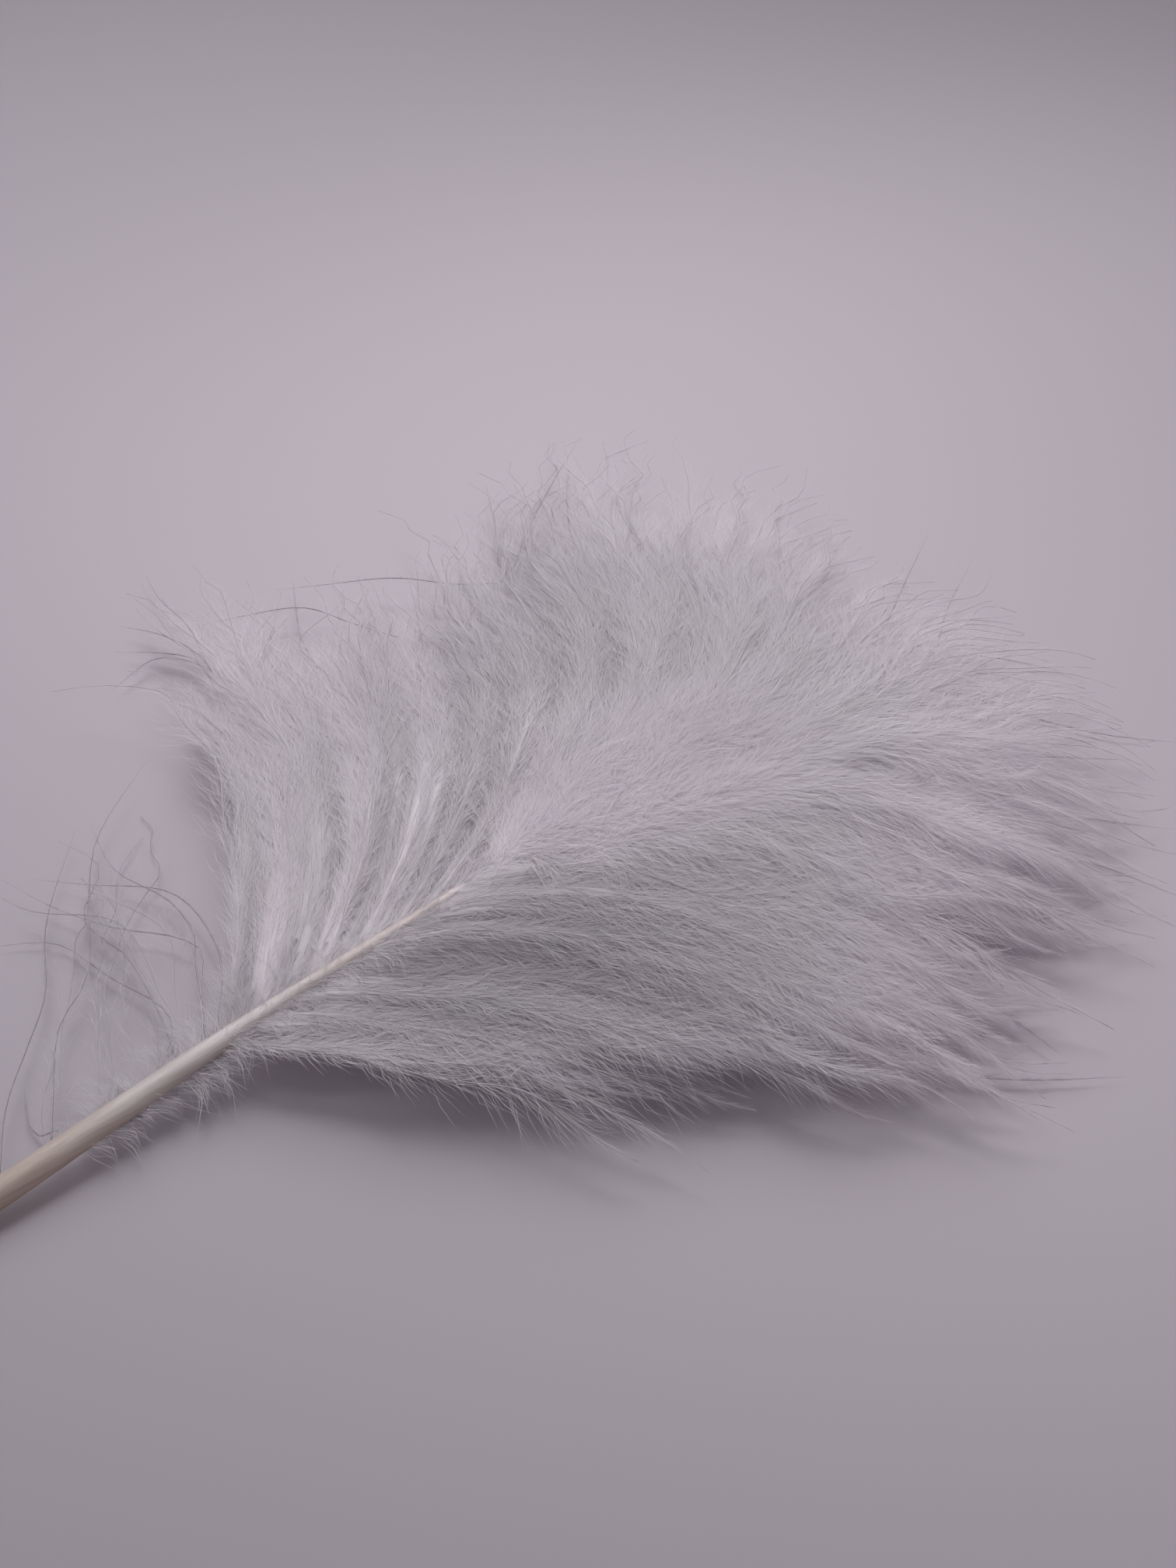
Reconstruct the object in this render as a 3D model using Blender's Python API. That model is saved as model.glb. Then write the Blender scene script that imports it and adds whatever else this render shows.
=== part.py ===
"""White marabou plume, lying on a surface with its outer side up.

It is one grown piece: a quill that runs on as a tapering shaft, and the soft down on both
sides of it, gathered into locks. The shaft points along +X, +Y is the plume's left side and
the surface is z = 0. Lengths are written in millimetres and multiplied by MM at the end,
because the scene is in metres.
"""

import bmesh
import bpy
import numpy as np

MM = 0.001

# Where the quill's end lies, so that the middle of the plume's box is over the origin.
QUILL_END = (-41.5, -3.7)

# The shaft's stations along X, and its side step, height and thickness at each of them.
SHAFT_STATIONS = (0.0, 5.0, 20.0, 32.0, 40.0, 50.0, 60.0)
SHAFT_SIDE = (0.0, 0.0, 0.0, -0.2, -0.8, -1.5, -3.6)
SHAFT_HEIGHT = (0.66, 0.68, 1.4, 3.1, 4.5, 5.5, 5.4)
SHAFT_THICKNESS = (1.4, 1.5, 1.42, 0.95, 0.6, 0.4, 0.2)
SHAFT_SIDES = 12
SHAFT_RINGS = 19
QUILL_END_ROUNDING = 0.35

# One row for each place round the plume's rim where its outline or its flow changes: how far
# up the side it is, from 0 at the lowest lock to 1 at the highest, the lock's tip (X, Y and
# height), and the directions, in degrees left of +X, in which a lock leaves the shaft and ends.
LEFT_RIM = (
    (0.00, 40.0, 25.0, 2.0, 56.0, 140.0),
    (0.07, 45.0, 31.8, 1.2, 52.0, 95.0),
    (0.16, 52.0, 26.8, 1.4, 47.0, 60.0),
    (0.26, 56.0, 24.5, 1.4, 43.0, 70.0),
    (0.40, 64.5, 26.2, 1.4, 37.0, 62.0),
    (0.55, 72.2, 26.5, 1.4, 30.0, 45.0),
    (0.70, 79.2, 20.5, 1.6, 24.0, 38.0),
    (0.82, 81.0, 13.0, 1.8, 17.0, 10.0),
    (0.92, 82.0, 5.5, 1.8, 10.0, -5.0),
    (1.00, 82.6, -0.5, 1.8, 4.0, -20.0),
)
TIP_RIM = (
    (0.00, 82.8, -2.5, 1.8, 0.0, -25.0),
    (0.50, 83.0, -8.0, 1.6, -8.0, -38.0),
    (1.00, 81.2, -13.5, 1.8, -14.0, -42.0),
)
RIGHT_RIM = (
    (0.00, 46.5, -14.2, 2.0, -52.0, -36.0),
    (0.10, 53.5, -19.5, 1.6, -46.0, -36.0),
    (0.25, 60.5, -23.5, 1.2, -40.0, -38.0),
    (0.45, 65.0, -24.0, 1.2, -32.0, -40.0),
    (0.65, 70.5, -22.0, 1.4, -25.0, -40.0),
    (0.85, 75.5, -19.8, 1.6, -18.0, -40.0),
    (1.00, 79.5, -16.0, 1.8, -14.0, -42.0),
)
# The few thin locks below the full down.
BASE_RIM = (
    (0.00, 27.5, 10.5, 0.8, 80.0, 55.0),
    (0.33, 36.5, 18.5, 0.8, 72.0, 50.0),
    (0.67, 29.5, 14.5, 0.8, 58.0, 160.0),
    (1.00, 28.0, 17.2, 1.0, 60.0, 115.0),
)

# For each group: rim, number of locks, first and last root along the shaft, and lock width.
LOCK_GROUPS = {
    "left": (LEFT_RIM, 31, (31.5, 58.0), 2.7),
    "tip": (TIP_RIM, 7, (57.0, 59.6), 2.6),
    "right": (RIGHT_RIM, 25, (31.0, 58.0), 2.7),
    "base": (BASE_RIM, 4, (22.5, 30.5), 0.9),
}

# How a lock is formed: the shares of its length that its two ends run straight, how far it
# rises there as a share of its length, and its thickness as a share of its width.
ROOT_REACH = 0.36
TIP_REACH = 0.30
ROOT_RISE = 0.07
TIP_RISE = 0.13
LOCK_FLATNESS = 0.56
LOCK_SIDES = 6
# Stations along a lock and its width at each of them, as shares of its length and width.
LOCK_STATIONS = (0.0, 0.13, 0.30, 0.50, 0.70, 0.87, 1.0)
LOCK_WIDTHS = (0.18, 0.42, 0.78, 1.0, 0.90, 0.52, 0.03)

# Locks lie in two layers, and every fourth one droops onto the surface: the heights of its
# last handle, which is under the surface to press the lock onto it, and of its tip.
LAYER_STEP = 0.9
RESTING_LOCK = 4
RESTING_HEIGHTS = (-0.6, 0.03)
TIP_SCATTER = 0.8
ANGLE_SCATTER = 8.0
LENGTH_SCATTER = 0.06
WIDTH_SCATTER = 0.18
# Each lock sways from side to side and up and down by this much, about once in its length.
WAVE = (0.45, 0.30)
WAVE_COUNT = 1.2
SCATTER_SEED = 11

SURFACE_BLOCK = (120.0, 100.0, 10.0)

SHAFT_COLOUR = (0.74, 0.68, 0.58)
SHAFT_ROUGHNESS = 0.4
DOWN_COLOUR = (0.80, 0.78, 0.79)
DOWN_ROUGHNESS = 0.85
SHARP_ANGLE = np.radians(50)


def smooth(at, stations, values):
    """A cubic curve through the values, whose slope at each station comes from its neighbours."""
    stations = np.asarray(stations, float)
    values = np.asarray(values, float)
    slopes = np.gradient(values, stations, axis=0)
    left = np.clip(np.searchsorted(stations, at, side="right") - 1, 0, len(stations) - 2)
    width = stations[left + 1] - stations[left]
    part = (at - stations[left]) / width
    if values.ndim == 2:
        part = part[:, None]
        width = width[:, None]
    return (
        values[left] * (1 + 2 * part) * (1 - part) ** 2
        + values[left + 1] * part**2 * (3 - 2 * part)
        + slopes[left] * width * part * (1 - part) ** 2
        + slopes[left + 1] * width * part**2 * (part - 1)
    )


def shaft_points(x):
    """The shaft's middle line at the distances x from the quill's end."""
    side = smooth(x, SHAFT_STATIONS, SHAFT_SIDE)
    height = smooth(x, SHAFT_STATIONS, SHAFT_HEIGHT)
    return np.column_stack([x, side, height])


def heading(degrees):
    """Unit vectors along the surface, turned left from +X."""
    angle = np.radians(degrees)
    return np.column_stack([np.cos(angle), np.sin(angle), np.zeros_like(angle)])


def lock_handles(rim, count, roots, random):
    """The four Bezier points of each lock of a group, as an array of count, 4 and 3."""
    rim = np.array(rim)
    share = np.linspace(0.0, 1.0, count)
    outline = smooth(share, rim[:, 0], rim[:, 1:])
    scatter = random.uniform(-1, 1, (count, 5))
    root = shaft_points(roots[0] + (roots[1] - roots[0]) * share)
    tip = outline[:, :3] + scatter[:, :3] * TIP_SCATTER * (1, 1, 0.5)
    tip += (tip - root) * scatter[:, 3:4] * LENGTH_SCATTER * (1, 1, 0)
    length = np.linalg.norm(tip - root, axis=1)[:, None]
    layer = np.where(np.arange(count) % 2, -LAYER_STEP / 2, LAYER_STEP / 2)[:, None]
    turn = scatter[:, 4] * ANGLE_SCATTER
    up = np.array([0.0, 0.0, 1.0])
    near_root = root + length * ROOT_REACH * heading(outline[:, 3] + turn * 0.5)
    near_root += up * (ROOT_RISE * length + layer)
    near_tip = tip - length * TIP_REACH * heading(outline[:, 4] + turn)
    near_tip += up * (TIP_RISE * length + layer)
    resting = np.arange(count) % RESTING_LOCK == 1
    near_tip[resting, 2], tip[resting, 2] = RESTING_HEIGHTS
    return np.stack([root, near_root, near_tip, tip], axis=1)


def lock_paths(handles, stations, random):
    """The middle lines of the locks at the shares given: Bezier curves with a gentle sway."""
    part = np.asarray(stations)[None, :, None]
    a, b, c, d = (handles[:, i : i + 1, :] for i in range(4))
    path = (
        a * (1 - part) ** 3
        + b * 3 * part * (1 - part) ** 2
        + c * 3 * part**2 * (1 - part)
        + d * part**3
    )
    along = handles[:, 3] - handles[:, 0]
    across = np.column_stack([-along[:, 1], along[:, 0], np.zeros(len(along))])
    across /= np.linalg.norm(across, axis=1)[:, None]
    phase = random.uniform(0, 2 * np.pi, (2, len(handles), 1, 1))
    sway = np.sin(2 * np.pi * WAVE_COUNT * part + phase) * np.sin(np.pi * part)
    return path + WAVE[0] * sway[0] * across[:, None, :] + WAVE[1] * sway[1] * (0, 0, 1)


def tube(path, widths, heights, sides):
    """A closed tube of oval rings round a path, with fanned ends, as vertices and faces."""
    ahead = np.gradient(path, axis=0)
    ahead /= np.linalg.norm(ahead, axis=1)[:, None]
    across = np.cross([0.0, 0.0, 1.0], ahead)
    across /= np.linalg.norm(across, axis=1)[:, None]
    above = np.cross(ahead, across)
    angle = 2 * np.pi * np.arange(sides) / sides
    rings = (
        path[:, None, :]
        + 0.5 * (widths[:, None] * np.cos(angle))[:, :, None] * across[:, None, :]
        + 0.5 * (heights[:, None] * np.sin(angle))[:, :, None] * above[:, None, :]
    )
    vertices = np.concatenate([rings.reshape(-1, 3), path[:1], path[-1:]])
    start, end = len(vertices) - 2, len(vertices) - 1
    last = (len(path) - 1) * sides
    faces = []
    for side in range(sides):
        after = (side + 1) % sides
        for low in range(0, last, sides):
            faces.append((low + side, low + after, low + sides + after, low + sides + side))
        faces.append((start, after, side))
        faces.append((end, last + side, last + after))
    return vertices, faces


def shape_object(name, shapes, material):
    """An object of all the (vertices, faces) shapes, in metres and in the plume's own frame."""
    vertices = np.concatenate([points for points, _ in shapes])
    counts = np.cumsum([0] + [len(points) for points, _ in shapes])
    faces = [
        tuple(int(base) + corner for corner in face)
        for base, (_, shape_faces) in zip(counts, shapes)
        for face in shape_faces
    ]
    mesh = bpy.data.meshes.new(name)
    mesh.from_pydata(((vertices + (*QUILL_END, 0.0)) * MM).tolist(), [], faces)
    mesh.materials.append(material)
    shape = bpy.data.objects.new(name, mesh)
    bpy.context.scene.collection.objects.link(shape)
    return shape


def shaft_shape():
    """The quill and shaft: round rings that taper to the plume's tip, rounded at the quill's end."""
    x = np.linspace(0.0, SHAFT_STATIONS[-1], SHAFT_RINGS)
    x = np.insert(x, 1, QUILL_END_ROUNDING)
    thickness = smooth(x, SHAFT_STATIONS, SHAFT_THICKNESS)
    thickness[0] -= 2 * QUILL_END_ROUNDING
    return tube(shaft_points(x), thickness, thickness, SHAFT_SIDES)


def lock_shapes():
    """Every lock as a flattened tube that swells in its middle and narrows to a point."""
    random = np.random.RandomState(SCATTER_SEED)
    shapes = []
    for rim, count, roots, width in LOCK_GROUPS.values():
        paths = lock_paths(lock_handles(rim, count, roots, random), LOCK_STATIONS, random)
        sizes = width * (1 + WIDTH_SCATTER * random.uniform(-1, 1, count))
        for path, size in zip(paths, sizes):
            widths = size * np.array(LOCK_WIDTHS)
            shapes.append(tube(path, widths, widths * LOCK_FLATNESS, LOCK_SIDES))
    return shapes


def surface_block(material):
    """A block whose top is the surface, which cuts the undersides flat."""
    mesh = bpy.data.meshes.new("surface_block")
    shape = bmesh.new()
    bmesh.ops.create_cube(shape, size=1.0)
    bmesh.ops.scale(shape, vec=[size * MM for size in SURFACE_BLOCK], verts=shape.verts)
    bmesh.ops.translate(shape, vec=(0.0, 0.0, -SURFACE_BLOCK[2] * MM / 2), verts=shape.verts)
    shape.to_mesh(mesh)
    shape.free()
    mesh.materials.append(material)
    block = bpy.data.objects.new("surface_block", mesh)
    bpy.context.scene.collection.objects.link(block)
    return block


def surface_material(name, colour, roughness):
    material = bpy.data.materials.new(name)
    material.use_nodes = True
    shader = material.node_tree.nodes["Principled BSDF"]
    shader.inputs["Base Color"].default_value = (*colour, 1.0)
    shader.inputs["Roughness"].default_value = roughness
    shader.inputs["Metallic"].default_value = 0.0
    return material


def add_boolean(target, operation, tool):
    """Adds an exact Boolean whose tool only shapes the target and brings its own material."""
    tool.hide_render = True
    tool.display_type = "WIRE"
    boolean = target.modifiers.new(tool.name, "BOOLEAN")
    boolean.operation = operation
    boolean.solver = "EXACT"
    boolean.material_mode = "TRANSFER"
    boolean.use_self = True
    boolean.object = tool


def outer_surface(mesh):
    """Fills the small pockets closed in between locks: only the largest connected surface stays."""
    shape = bmesh.new()
    shape.from_mesh(mesh)
    unseen = set(shape.verts)
    surfaces = []
    while unseen:
        surface = set()
        edge = {unseen.pop()}
        while edge:
            surface |= edge
            edge = {link.other_vert(vertex) for vertex in edge for link in vertex.link_edges} - surface
        unseen -= surface
        surfaces.append(surface)
    surfaces.sort(key=len)
    for pocket in surfaces[:-1]:
        bmesh.ops.delete(shape, geom=list(pocket), context="VERTS")
    shape.to_mesh(mesh)
    shape.free()


def fuse(feather, tools):
    """Replaces the feather's mesh with the result of its Booleans, without closed-in pockets."""
    graph = bpy.context.evaluated_depsgraph_get()
    solid = bpy.data.meshes.new_from_object(feather.evaluated_get(graph))
    solid.name = feather.name
    outer_surface(solid)
    feather.modifiers.clear()
    feather.data = solid
    for tool in tools:
        bpy.data.objects.remove(tool, do_unlink=True)


def build():
    for old in list(bpy.data.objects):
        bpy.data.objects.remove(old, do_unlink=True)
    ivory = surface_material("ivory_shaft", SHAFT_COLOUR, SHAFT_ROUGHNESS)
    white = surface_material("white_down", DOWN_COLOUR, DOWN_ROUGHNESS)
    feather = shape_object("feather", [shaft_shape()], ivory)
    locks = shape_object("locks", lock_shapes(), white)
    block = surface_block(white)
    add_boolean(feather, "UNION", locks)
    add_boolean(feather, "DIFFERENCE", block)
    fuse(feather, (locks, block))
    feather.data.shade_smooth()
    feather.data.set_sharp_from_angle(angle=SHARP_ANGLE)


build()
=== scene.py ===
"""Looks of a white marabou plume that lies on a pale surface, outer side up.

Lengths are in millimetres in the plume's own frame, whose origin is the middle of the quill's
end, with +X along the shaft and +Y to the plume's left. in_metres() turns them into the scene's
metres. The laws of the shaft and of the locks are those of the solid, so every barb lies in or
beside a lock of it.
"""

import bpy
import numpy as np
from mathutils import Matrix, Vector


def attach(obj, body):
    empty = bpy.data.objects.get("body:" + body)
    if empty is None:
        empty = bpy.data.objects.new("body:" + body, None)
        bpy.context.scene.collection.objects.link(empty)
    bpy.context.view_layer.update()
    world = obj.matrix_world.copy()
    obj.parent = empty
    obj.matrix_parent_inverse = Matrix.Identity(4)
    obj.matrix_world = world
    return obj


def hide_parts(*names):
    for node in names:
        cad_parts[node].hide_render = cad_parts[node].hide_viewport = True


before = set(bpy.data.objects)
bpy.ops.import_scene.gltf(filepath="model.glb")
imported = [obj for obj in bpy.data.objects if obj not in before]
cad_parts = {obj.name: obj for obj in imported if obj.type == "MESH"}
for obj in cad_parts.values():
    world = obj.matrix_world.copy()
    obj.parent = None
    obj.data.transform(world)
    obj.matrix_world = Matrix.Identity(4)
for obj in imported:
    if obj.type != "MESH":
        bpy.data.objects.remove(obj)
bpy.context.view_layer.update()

MM = 0.001
UP = np.array([0.0, 0.0, 1.0])

# Where the quill's end lies, so that the middle of the plume's box is over the origin.
QUILL_END = (-41.5, -3.7)

# The shaft's stations along X, and its side step, height and thickness at each of them.
SHAFT_STATIONS = (0.0, 5.0, 20.0, 32.0, 40.0, 50.0, 60.0)
SHAFT_SIDE = (0.0, 0.0, 0.0, -0.2, -0.8, -1.5, -3.6)
SHAFT_HEIGHT = (0.66, 0.68, 1.4, 3.1, 4.5, 5.5, 5.4)
SHAFT_THICKNESS = (1.4, 1.5, 1.42, 0.95, 0.6, 0.4, 0.2)
SHAFT_RINGS = 140
SHAFT_SIDES = 24
# The length of the quill's rounded end and the square of its least share of the radius; and the
# groove beneath: its depth as a share of the radius, and its width in radians.
QUILL_ROUNDING = 0.45
QUILL_FACE = 0.04
GROOVE_DEPTH = 0.16
GROOVE_WIDTH = 0.35

# For each place round the rim: how far up the side it is, a lock's tip (X, Y and height), and
# the directions, in degrees left of +X, in which the lock leaves the shaft and ends.
LEFT_RIM = (
    (0.00, 40.0, 25.0, 2.0, 56.0, 140.0),
    (0.07, 45.0, 31.8, 1.2, 52.0, 95.0),
    (0.16, 52.0, 26.8, 1.4, 47.0, 60.0),
    (0.26, 56.0, 24.5, 1.4, 43.0, 70.0),
    (0.40, 64.5, 26.2, 1.4, 37.0, 62.0),
    (0.55, 72.2, 26.5, 1.4, 30.0, 45.0),
    (0.70, 79.2, 20.5, 1.6, 24.0, 38.0),
    (0.82, 81.0, 13.0, 1.8, 17.0, 10.0),
    (0.92, 82.0, 5.5, 1.8, 10.0, -5.0),
    (1.00, 82.6, -0.5, 1.8, 4.0, -20.0),
)
TIP_RIM = (
    (0.00, 82.8, -2.5, 1.8, 0.0, -25.0),
    (0.50, 83.0, -8.0, 1.6, -8.0, -38.0),
    (1.00, 81.2, -13.5, 1.8, -14.0, -42.0),
)
RIGHT_RIM = (
    (0.00, 46.5, -14.2, 2.0, -52.0, -36.0),
    (0.10, 53.5, -19.5, 1.6, -46.0, -36.0),
    (0.25, 60.5, -23.5, 1.2, -40.0, -38.0),
    (0.45, 65.0, -24.0, 1.2, -32.0, -40.0),
    (0.65, 70.5, -22.0, 1.4, -25.0, -40.0),
    (0.85, 75.5, -19.8, 1.6, -18.0, -40.0),
    (1.00, 79.5, -16.0, 1.8, -14.0, -42.0),
)
BASE_RIM = (
    (0.00, 27.5, 10.5, 0.8, 80.0, 55.0),
    (0.33, 36.5, 18.5, 0.8, 72.0, 50.0),
    (0.67, 29.5, 14.5, 0.8, 58.0, 160.0),
    (1.00, 28.0, 17.2, 1.0, 60.0, 115.0),
)

# For each group of locks: rim, number of locks, and first and last root along the shaft.
LOCK_GROUPS = {
    "left": (LEFT_RIM, 31, (31.5, 58.0)),
    "tip": (TIP_RIM, 7, (57.0, 59.6)),
    "right": (RIGHT_RIM, 25, (31.0, 58.0)),
    "base": (BASE_RIM, 4, (22.5, 30.5)),
}

# How a lock is formed: the reach of its two inner handles and their rise, as shares of its
# length. Every other lock lies a step higher, and one in four rests on the surface: the heights
# of its last two points. A lock's tip scatters in X, Y and height, its direction there by so
# many degrees, at the shaft by half as many, and its length by a share.
ROOT_REACH = 0.36
TIP_REACH = 0.30
ROOT_RISE = 0.07
TIP_RISE = 0.13
LAYER_STEP = 0.9
RESTING_LOCK = 4
RESTING_HEIGHTS = (-0.6, 0.03)
TIP_SCATTER = (0.8, 0.8, 0.4)
ANGLE_SCATTER = 8.0
LENGTH_SCATTER = 0.06
# How far a lock sways to the side and up, and how often over its length.
WAVE = (0.45, 0.30)
WAVE_COUNT = 1.2
LOCK_SEED = 11

# Places round the plume are counted in locks, from the left base over the tip to the right base:
# each group's first place, and the way in which its locks are counted.
FIRST_PLACES = {"left": (0, 1), "tip": (31, 1), "right": (62, -1), "base": (0, 1)}

# For each group of locks: barbs per lock, how far loose barbs stray across, and how much of the
# view the barbules cover at BARB_STATIONS.
BARBS = {
    "left": (10, 4.0, (0.60, 1.10, 1.9, 2.1, 1.30, 0.55, 0.20)),
    "tip": (14, 7.0, (0.50, 0.70, 1.8, 2.2, 1.60, 0.80, 0.40)),
    "right": (10, 7.0, (0.60, 1.00, 1.8, 2.6, 2.60, 1.90, 0.60)),
    "base": (2, 0.4, (0.05, 0.05, 0.05, 0.05, 0.04, 0.03, 0.02)),
}
BARB_SEED = 23
BARB_RINGS = 20
# A barb's thickness at its root and tip, and the power by which it grows between them. Over the
# last share of its length it tapers, down to a share of its thickness. At the tip, loose barbs
# and tufts are so many times as thick as others.
BARB_THICKNESS = (0.02, 0.080)
THICKENING = 1.5
TAPER = (0.40, 0.15)
LOOSE_THICKNESS = 1.6
TUFT_THICKNESS = 0.3
# This share of the barbs is loose. Barbs fall short of their lock by up to the first share and
# loose ones by up to the second, and the power makes more of them short.
LOOSE_SHARE = 0.22
SHORTENING = (0.50, 0.12)
SHORT_POWER = 0.8
# Near the shaft barbs gather in ropes, so many locks apart, at the stations by the shares of
# the pull. At their tips they draw to the nearest lock by the last share.
ROPE_LOCKS = 2.6
ROPE_PULL = 0.6
ROPE_STATIONS = (0.0, 0.10, 0.25, 0.55, 1.0)
ROPE_SHARES = (0.0, 0.8, 1.0, 0.25, 0.0)
TIP_PULL = 0.18
# Waves round the plume, each with its size, rate and phase: two that make the ropes uneven, and
# one that curves them outwards. Finer strands cross them, with their number to a rope, their
# phase and their turn outwards. The blend is the weight of ropes and strands.
ROPE_WAVES = ((1.2, 0.5, 1.0), (0.7, 1.17, 0.0))
ROPE_CURVE = ((3.0, 0.7, 0.5),)
STRANDS = (2.7, 1.3, 5.0)
ROPE_BLEND = (0.75, 0.45)
# How much the roots crowd at places round the plume, and how far out this weakens the ropes.
CROWDING = ((12.0, 22.0, 42.0, 52.0), (0.0, 1.0, 1.0, 0.0))
CROWDED_REACH = 0.35
# Barbs lie in layers at these heights. Loose ones rise more, and all rise in an arch.
LAYER_HEIGHTS = (-0.3, 0.05, 0.4)
LOOSE_LIFT = 0.9
LIFT_ARCH = 0.8
# The barbs' own spread to the side and up, the powers by which it and the loose ones' straying
# grow outwards, and the range of their waves and how far these ripple.
BARB_SPREAD = (1.0, 0.4)
SPREAD_POWERS = (1.5, 1.6)
BARB_WAVES = (1.0, 3.0)
BARB_RIPPLE = 0.32
# Each layer's flow wanders to the side: how far, over which length, the step of its phase from
# layer to layer, and three waves, each with its size, rate, direction and rate of the phase.
FLOW_WANDER = 1.2
FLOW_LENGTH = 15.0
LAYER_PHASE = 2.1
FLOW_WAVES = ((0.65, 1.0, (1.0, 0.6), 1.0), (0.35, 1.7, (0.5, -1.0), 2.3), (0.28, 3.3, (0.8, 0.7), 1.7))
FLOW_BEND = 1.5

# The dense inner down is a soft sheet round the plume: its columns and rings, and, at places
# round the plume, how much of the locks' length it covers, its tone, and the outer down's tone.
# The tones are painted light and shade: darkest on the near side, which faces away from the
# light, and raised on the outer down to paint the light that passes through it.
SHEET_COLUMNS = 380
SHEET_RINGS = 44
SHEET_PLACES = (0.0, 3.0, 12.0, 24.0, 34.0, 44.0, 56.0, 62.0)
SHEET_REACH = (0.05, 0.38, 0.50, 0.48, 0.44, 0.46, 0.46, 0.05)
INNER_LIGHT_AND_SHADE = (0.76, 0.76, 0.44, 0.58, 0.76, 0.74, 0.16, 0.56)
OUTER_LIGHT_AND_SHADE = (0.84, 0.80, 0.62, 0.68, 0.84, 0.95, 0.93, 0.71)
# At the same places: how strong the ropes are, how far, in degrees, the sheet leans forward of
# the locks where it leaves the shaft, the share of barbules that the outer down lacks, so that
# it turns to gauze, and how far the barbs take the darker colour of the tips, a painted shade.
SHEET_ROPES = (1.0, 1.2, 1.1, 0.8, 0.45, 0.35, 0.8, 1.0)
SHEET_LEAN = (5.0, 12.0, 25.0, 20.0, 8.0, 0.0, 0.0, 0.0)
THINNING = (0.60, 0.60, 0.45, 0.10, 0.35, 0.35, 0.30, 0.50)
TIP_SHADING = (0.20, 0.20, 0.20, 0.0, 0.15, 0.05, 0.10, 0.30)
# The share of a barb's painted shade at the tip that its barbules take.
BARBULE_TIP_SHADING = 0.3
# Between these shares of the length the outer down thins, the barbs' inner tones fade to the
# outer ones, the sheet's do, the tips' darker painted shade sets in, and the barbs leave the sheet.
THINS_OVER = (0.50, 0.85)
TONES_OVER = (0.25, 0.80)
SHEET_TONES_OVER = (0.35, 0.75)
TIP_SHADE_OVER = (0.35, 0.60)
LEAVES_OVER = (0.42, 0.78)
# How much lighter a rope's middle, a flame's middle and the core over the buried shaft are, how
# far out the core reaches, and between which roots it ends. These are painted light: highlights on
# the ropes' ridges with painted shade between them, on the flames, and along the plume's top over
# the shaft.
ROPE_LIGHT_AND_SHADE = 0.32
FLAME_HIGHLIGHT = 0.07
CORE_HIGHLIGHT = 0.20
CORE_REACH = 0.28
CORE_END = (50.0, 59.0)
# The share of the length where a barb takes its rope's painted light and shade, the base barbs'
# and strays' tones, kept low to paint shade on loose strands, and the scatter of tones among
# barbs and among tufts, strays and barbules.
ROPE_TONE_AT = 0.15
BASE_TONE = 0.41
STRAY_TONE = 0.55
BARB_TONE_SCATTER = 0.04
TONE_SCATTER = 0.06
# The sheet's thickness, how it thickens from the roots and rounds off at its rim and its two
# ends, its least thickness, how far its ends lie in from the last locks, its rim's drop and
# waves, and the reach of its handle next to the shaft as a share of its length.
SHEET_THICKNESS = 0.8
SHEET_ROOT = (0.15, 0.04)
RIM_ROUNDING = 0.98
END_ROUNDING = (1.5, 0.01)
THINNEST = 0.02
SHEET_ENDS = 1.2
RIM_DROP = 0.5
RIM_WAVES = ((0.07, 1.3, 0.0), (0.05, 3.1, 1.0))
SHEET_ROOT_REACH = 0.44
# Heights of the sheet's ropes, flames and clouds. They swell along the length, end so far in
# from the rim, and are calmer over the buried shaft, by a share and over a reach.
ROPE_HEIGHT = 0.36
FLAME_HEIGHT = 0.16
CLOUD_HEIGHT = 0.30
SWELL = ((0.0, 0.10, 0.25, 0.6, 0.9), (0.0, 0.7, 1.0, 0.35, 0.0))
RIM_FADE = 0.2
CALMNESS = (0.75, 0.35)
# A flame's width in locks and its wandering, its waves along the length and theirs, the ropes'
# strength at which flames are full, and the two directions of the clouds' waves.
FLAMES_ACROSS = (2.6, 4.0, 7.0, 0.45)
FLAMES_ALONG = (11.0, 2.1, 0.8)
FULL_FLAMES = 0.35
CLOUD_WAVES = ((0.55, 0.31), (0.23, -0.47))
# Between these roots the down comes to hide the shaft, which it covers by a height that fades
# outwards over a reach. Elsewhere the sheet steps up beside the shaft, over a reach.
SHAFT_HIDING = (43.5, 49.0)
SHAFT_COVER = 0.95
SHAFT_COVER_REACH = 0.19
ROOT_STEP = (0.25, 0.05)
# How far the locks' heights even out to the sheet's, the barbs' height on it, the share of
# their lift that adds to it, and the share of the length by which that counts in full.
EVENNESS = 0.75
BEDDING = (0.02, 0.10, 0.3)
# Barbs come out of the sheet within the first share of their length, and the second more where
# the shaft is hidden. Before that they lie deeper by DEPTH, along a slope.
HIDDEN_SHARES = (0.10, 0.20)
DEPTH = 0.5
DEPTH_SLOPE = (1.6, 2.0, 0.02)
# How tufts lie on the sheet: the spread of the bell curve and the weight at which they are over
# it, their height, the share of their own rise that they keep, and the share of their length by
# which they lie there.
NEAR_SHEET = 0.45
OVER_SHEET = 0.6
LAID_HEIGHT = 0.05
KEPT_RISE = 0.3
LAID_FROM = 0.15

# The shares of the length at which the barbules' number is summed: first, last and how many.
SAMPLED_SHARES = (0.01, 1.0, 200)
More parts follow.
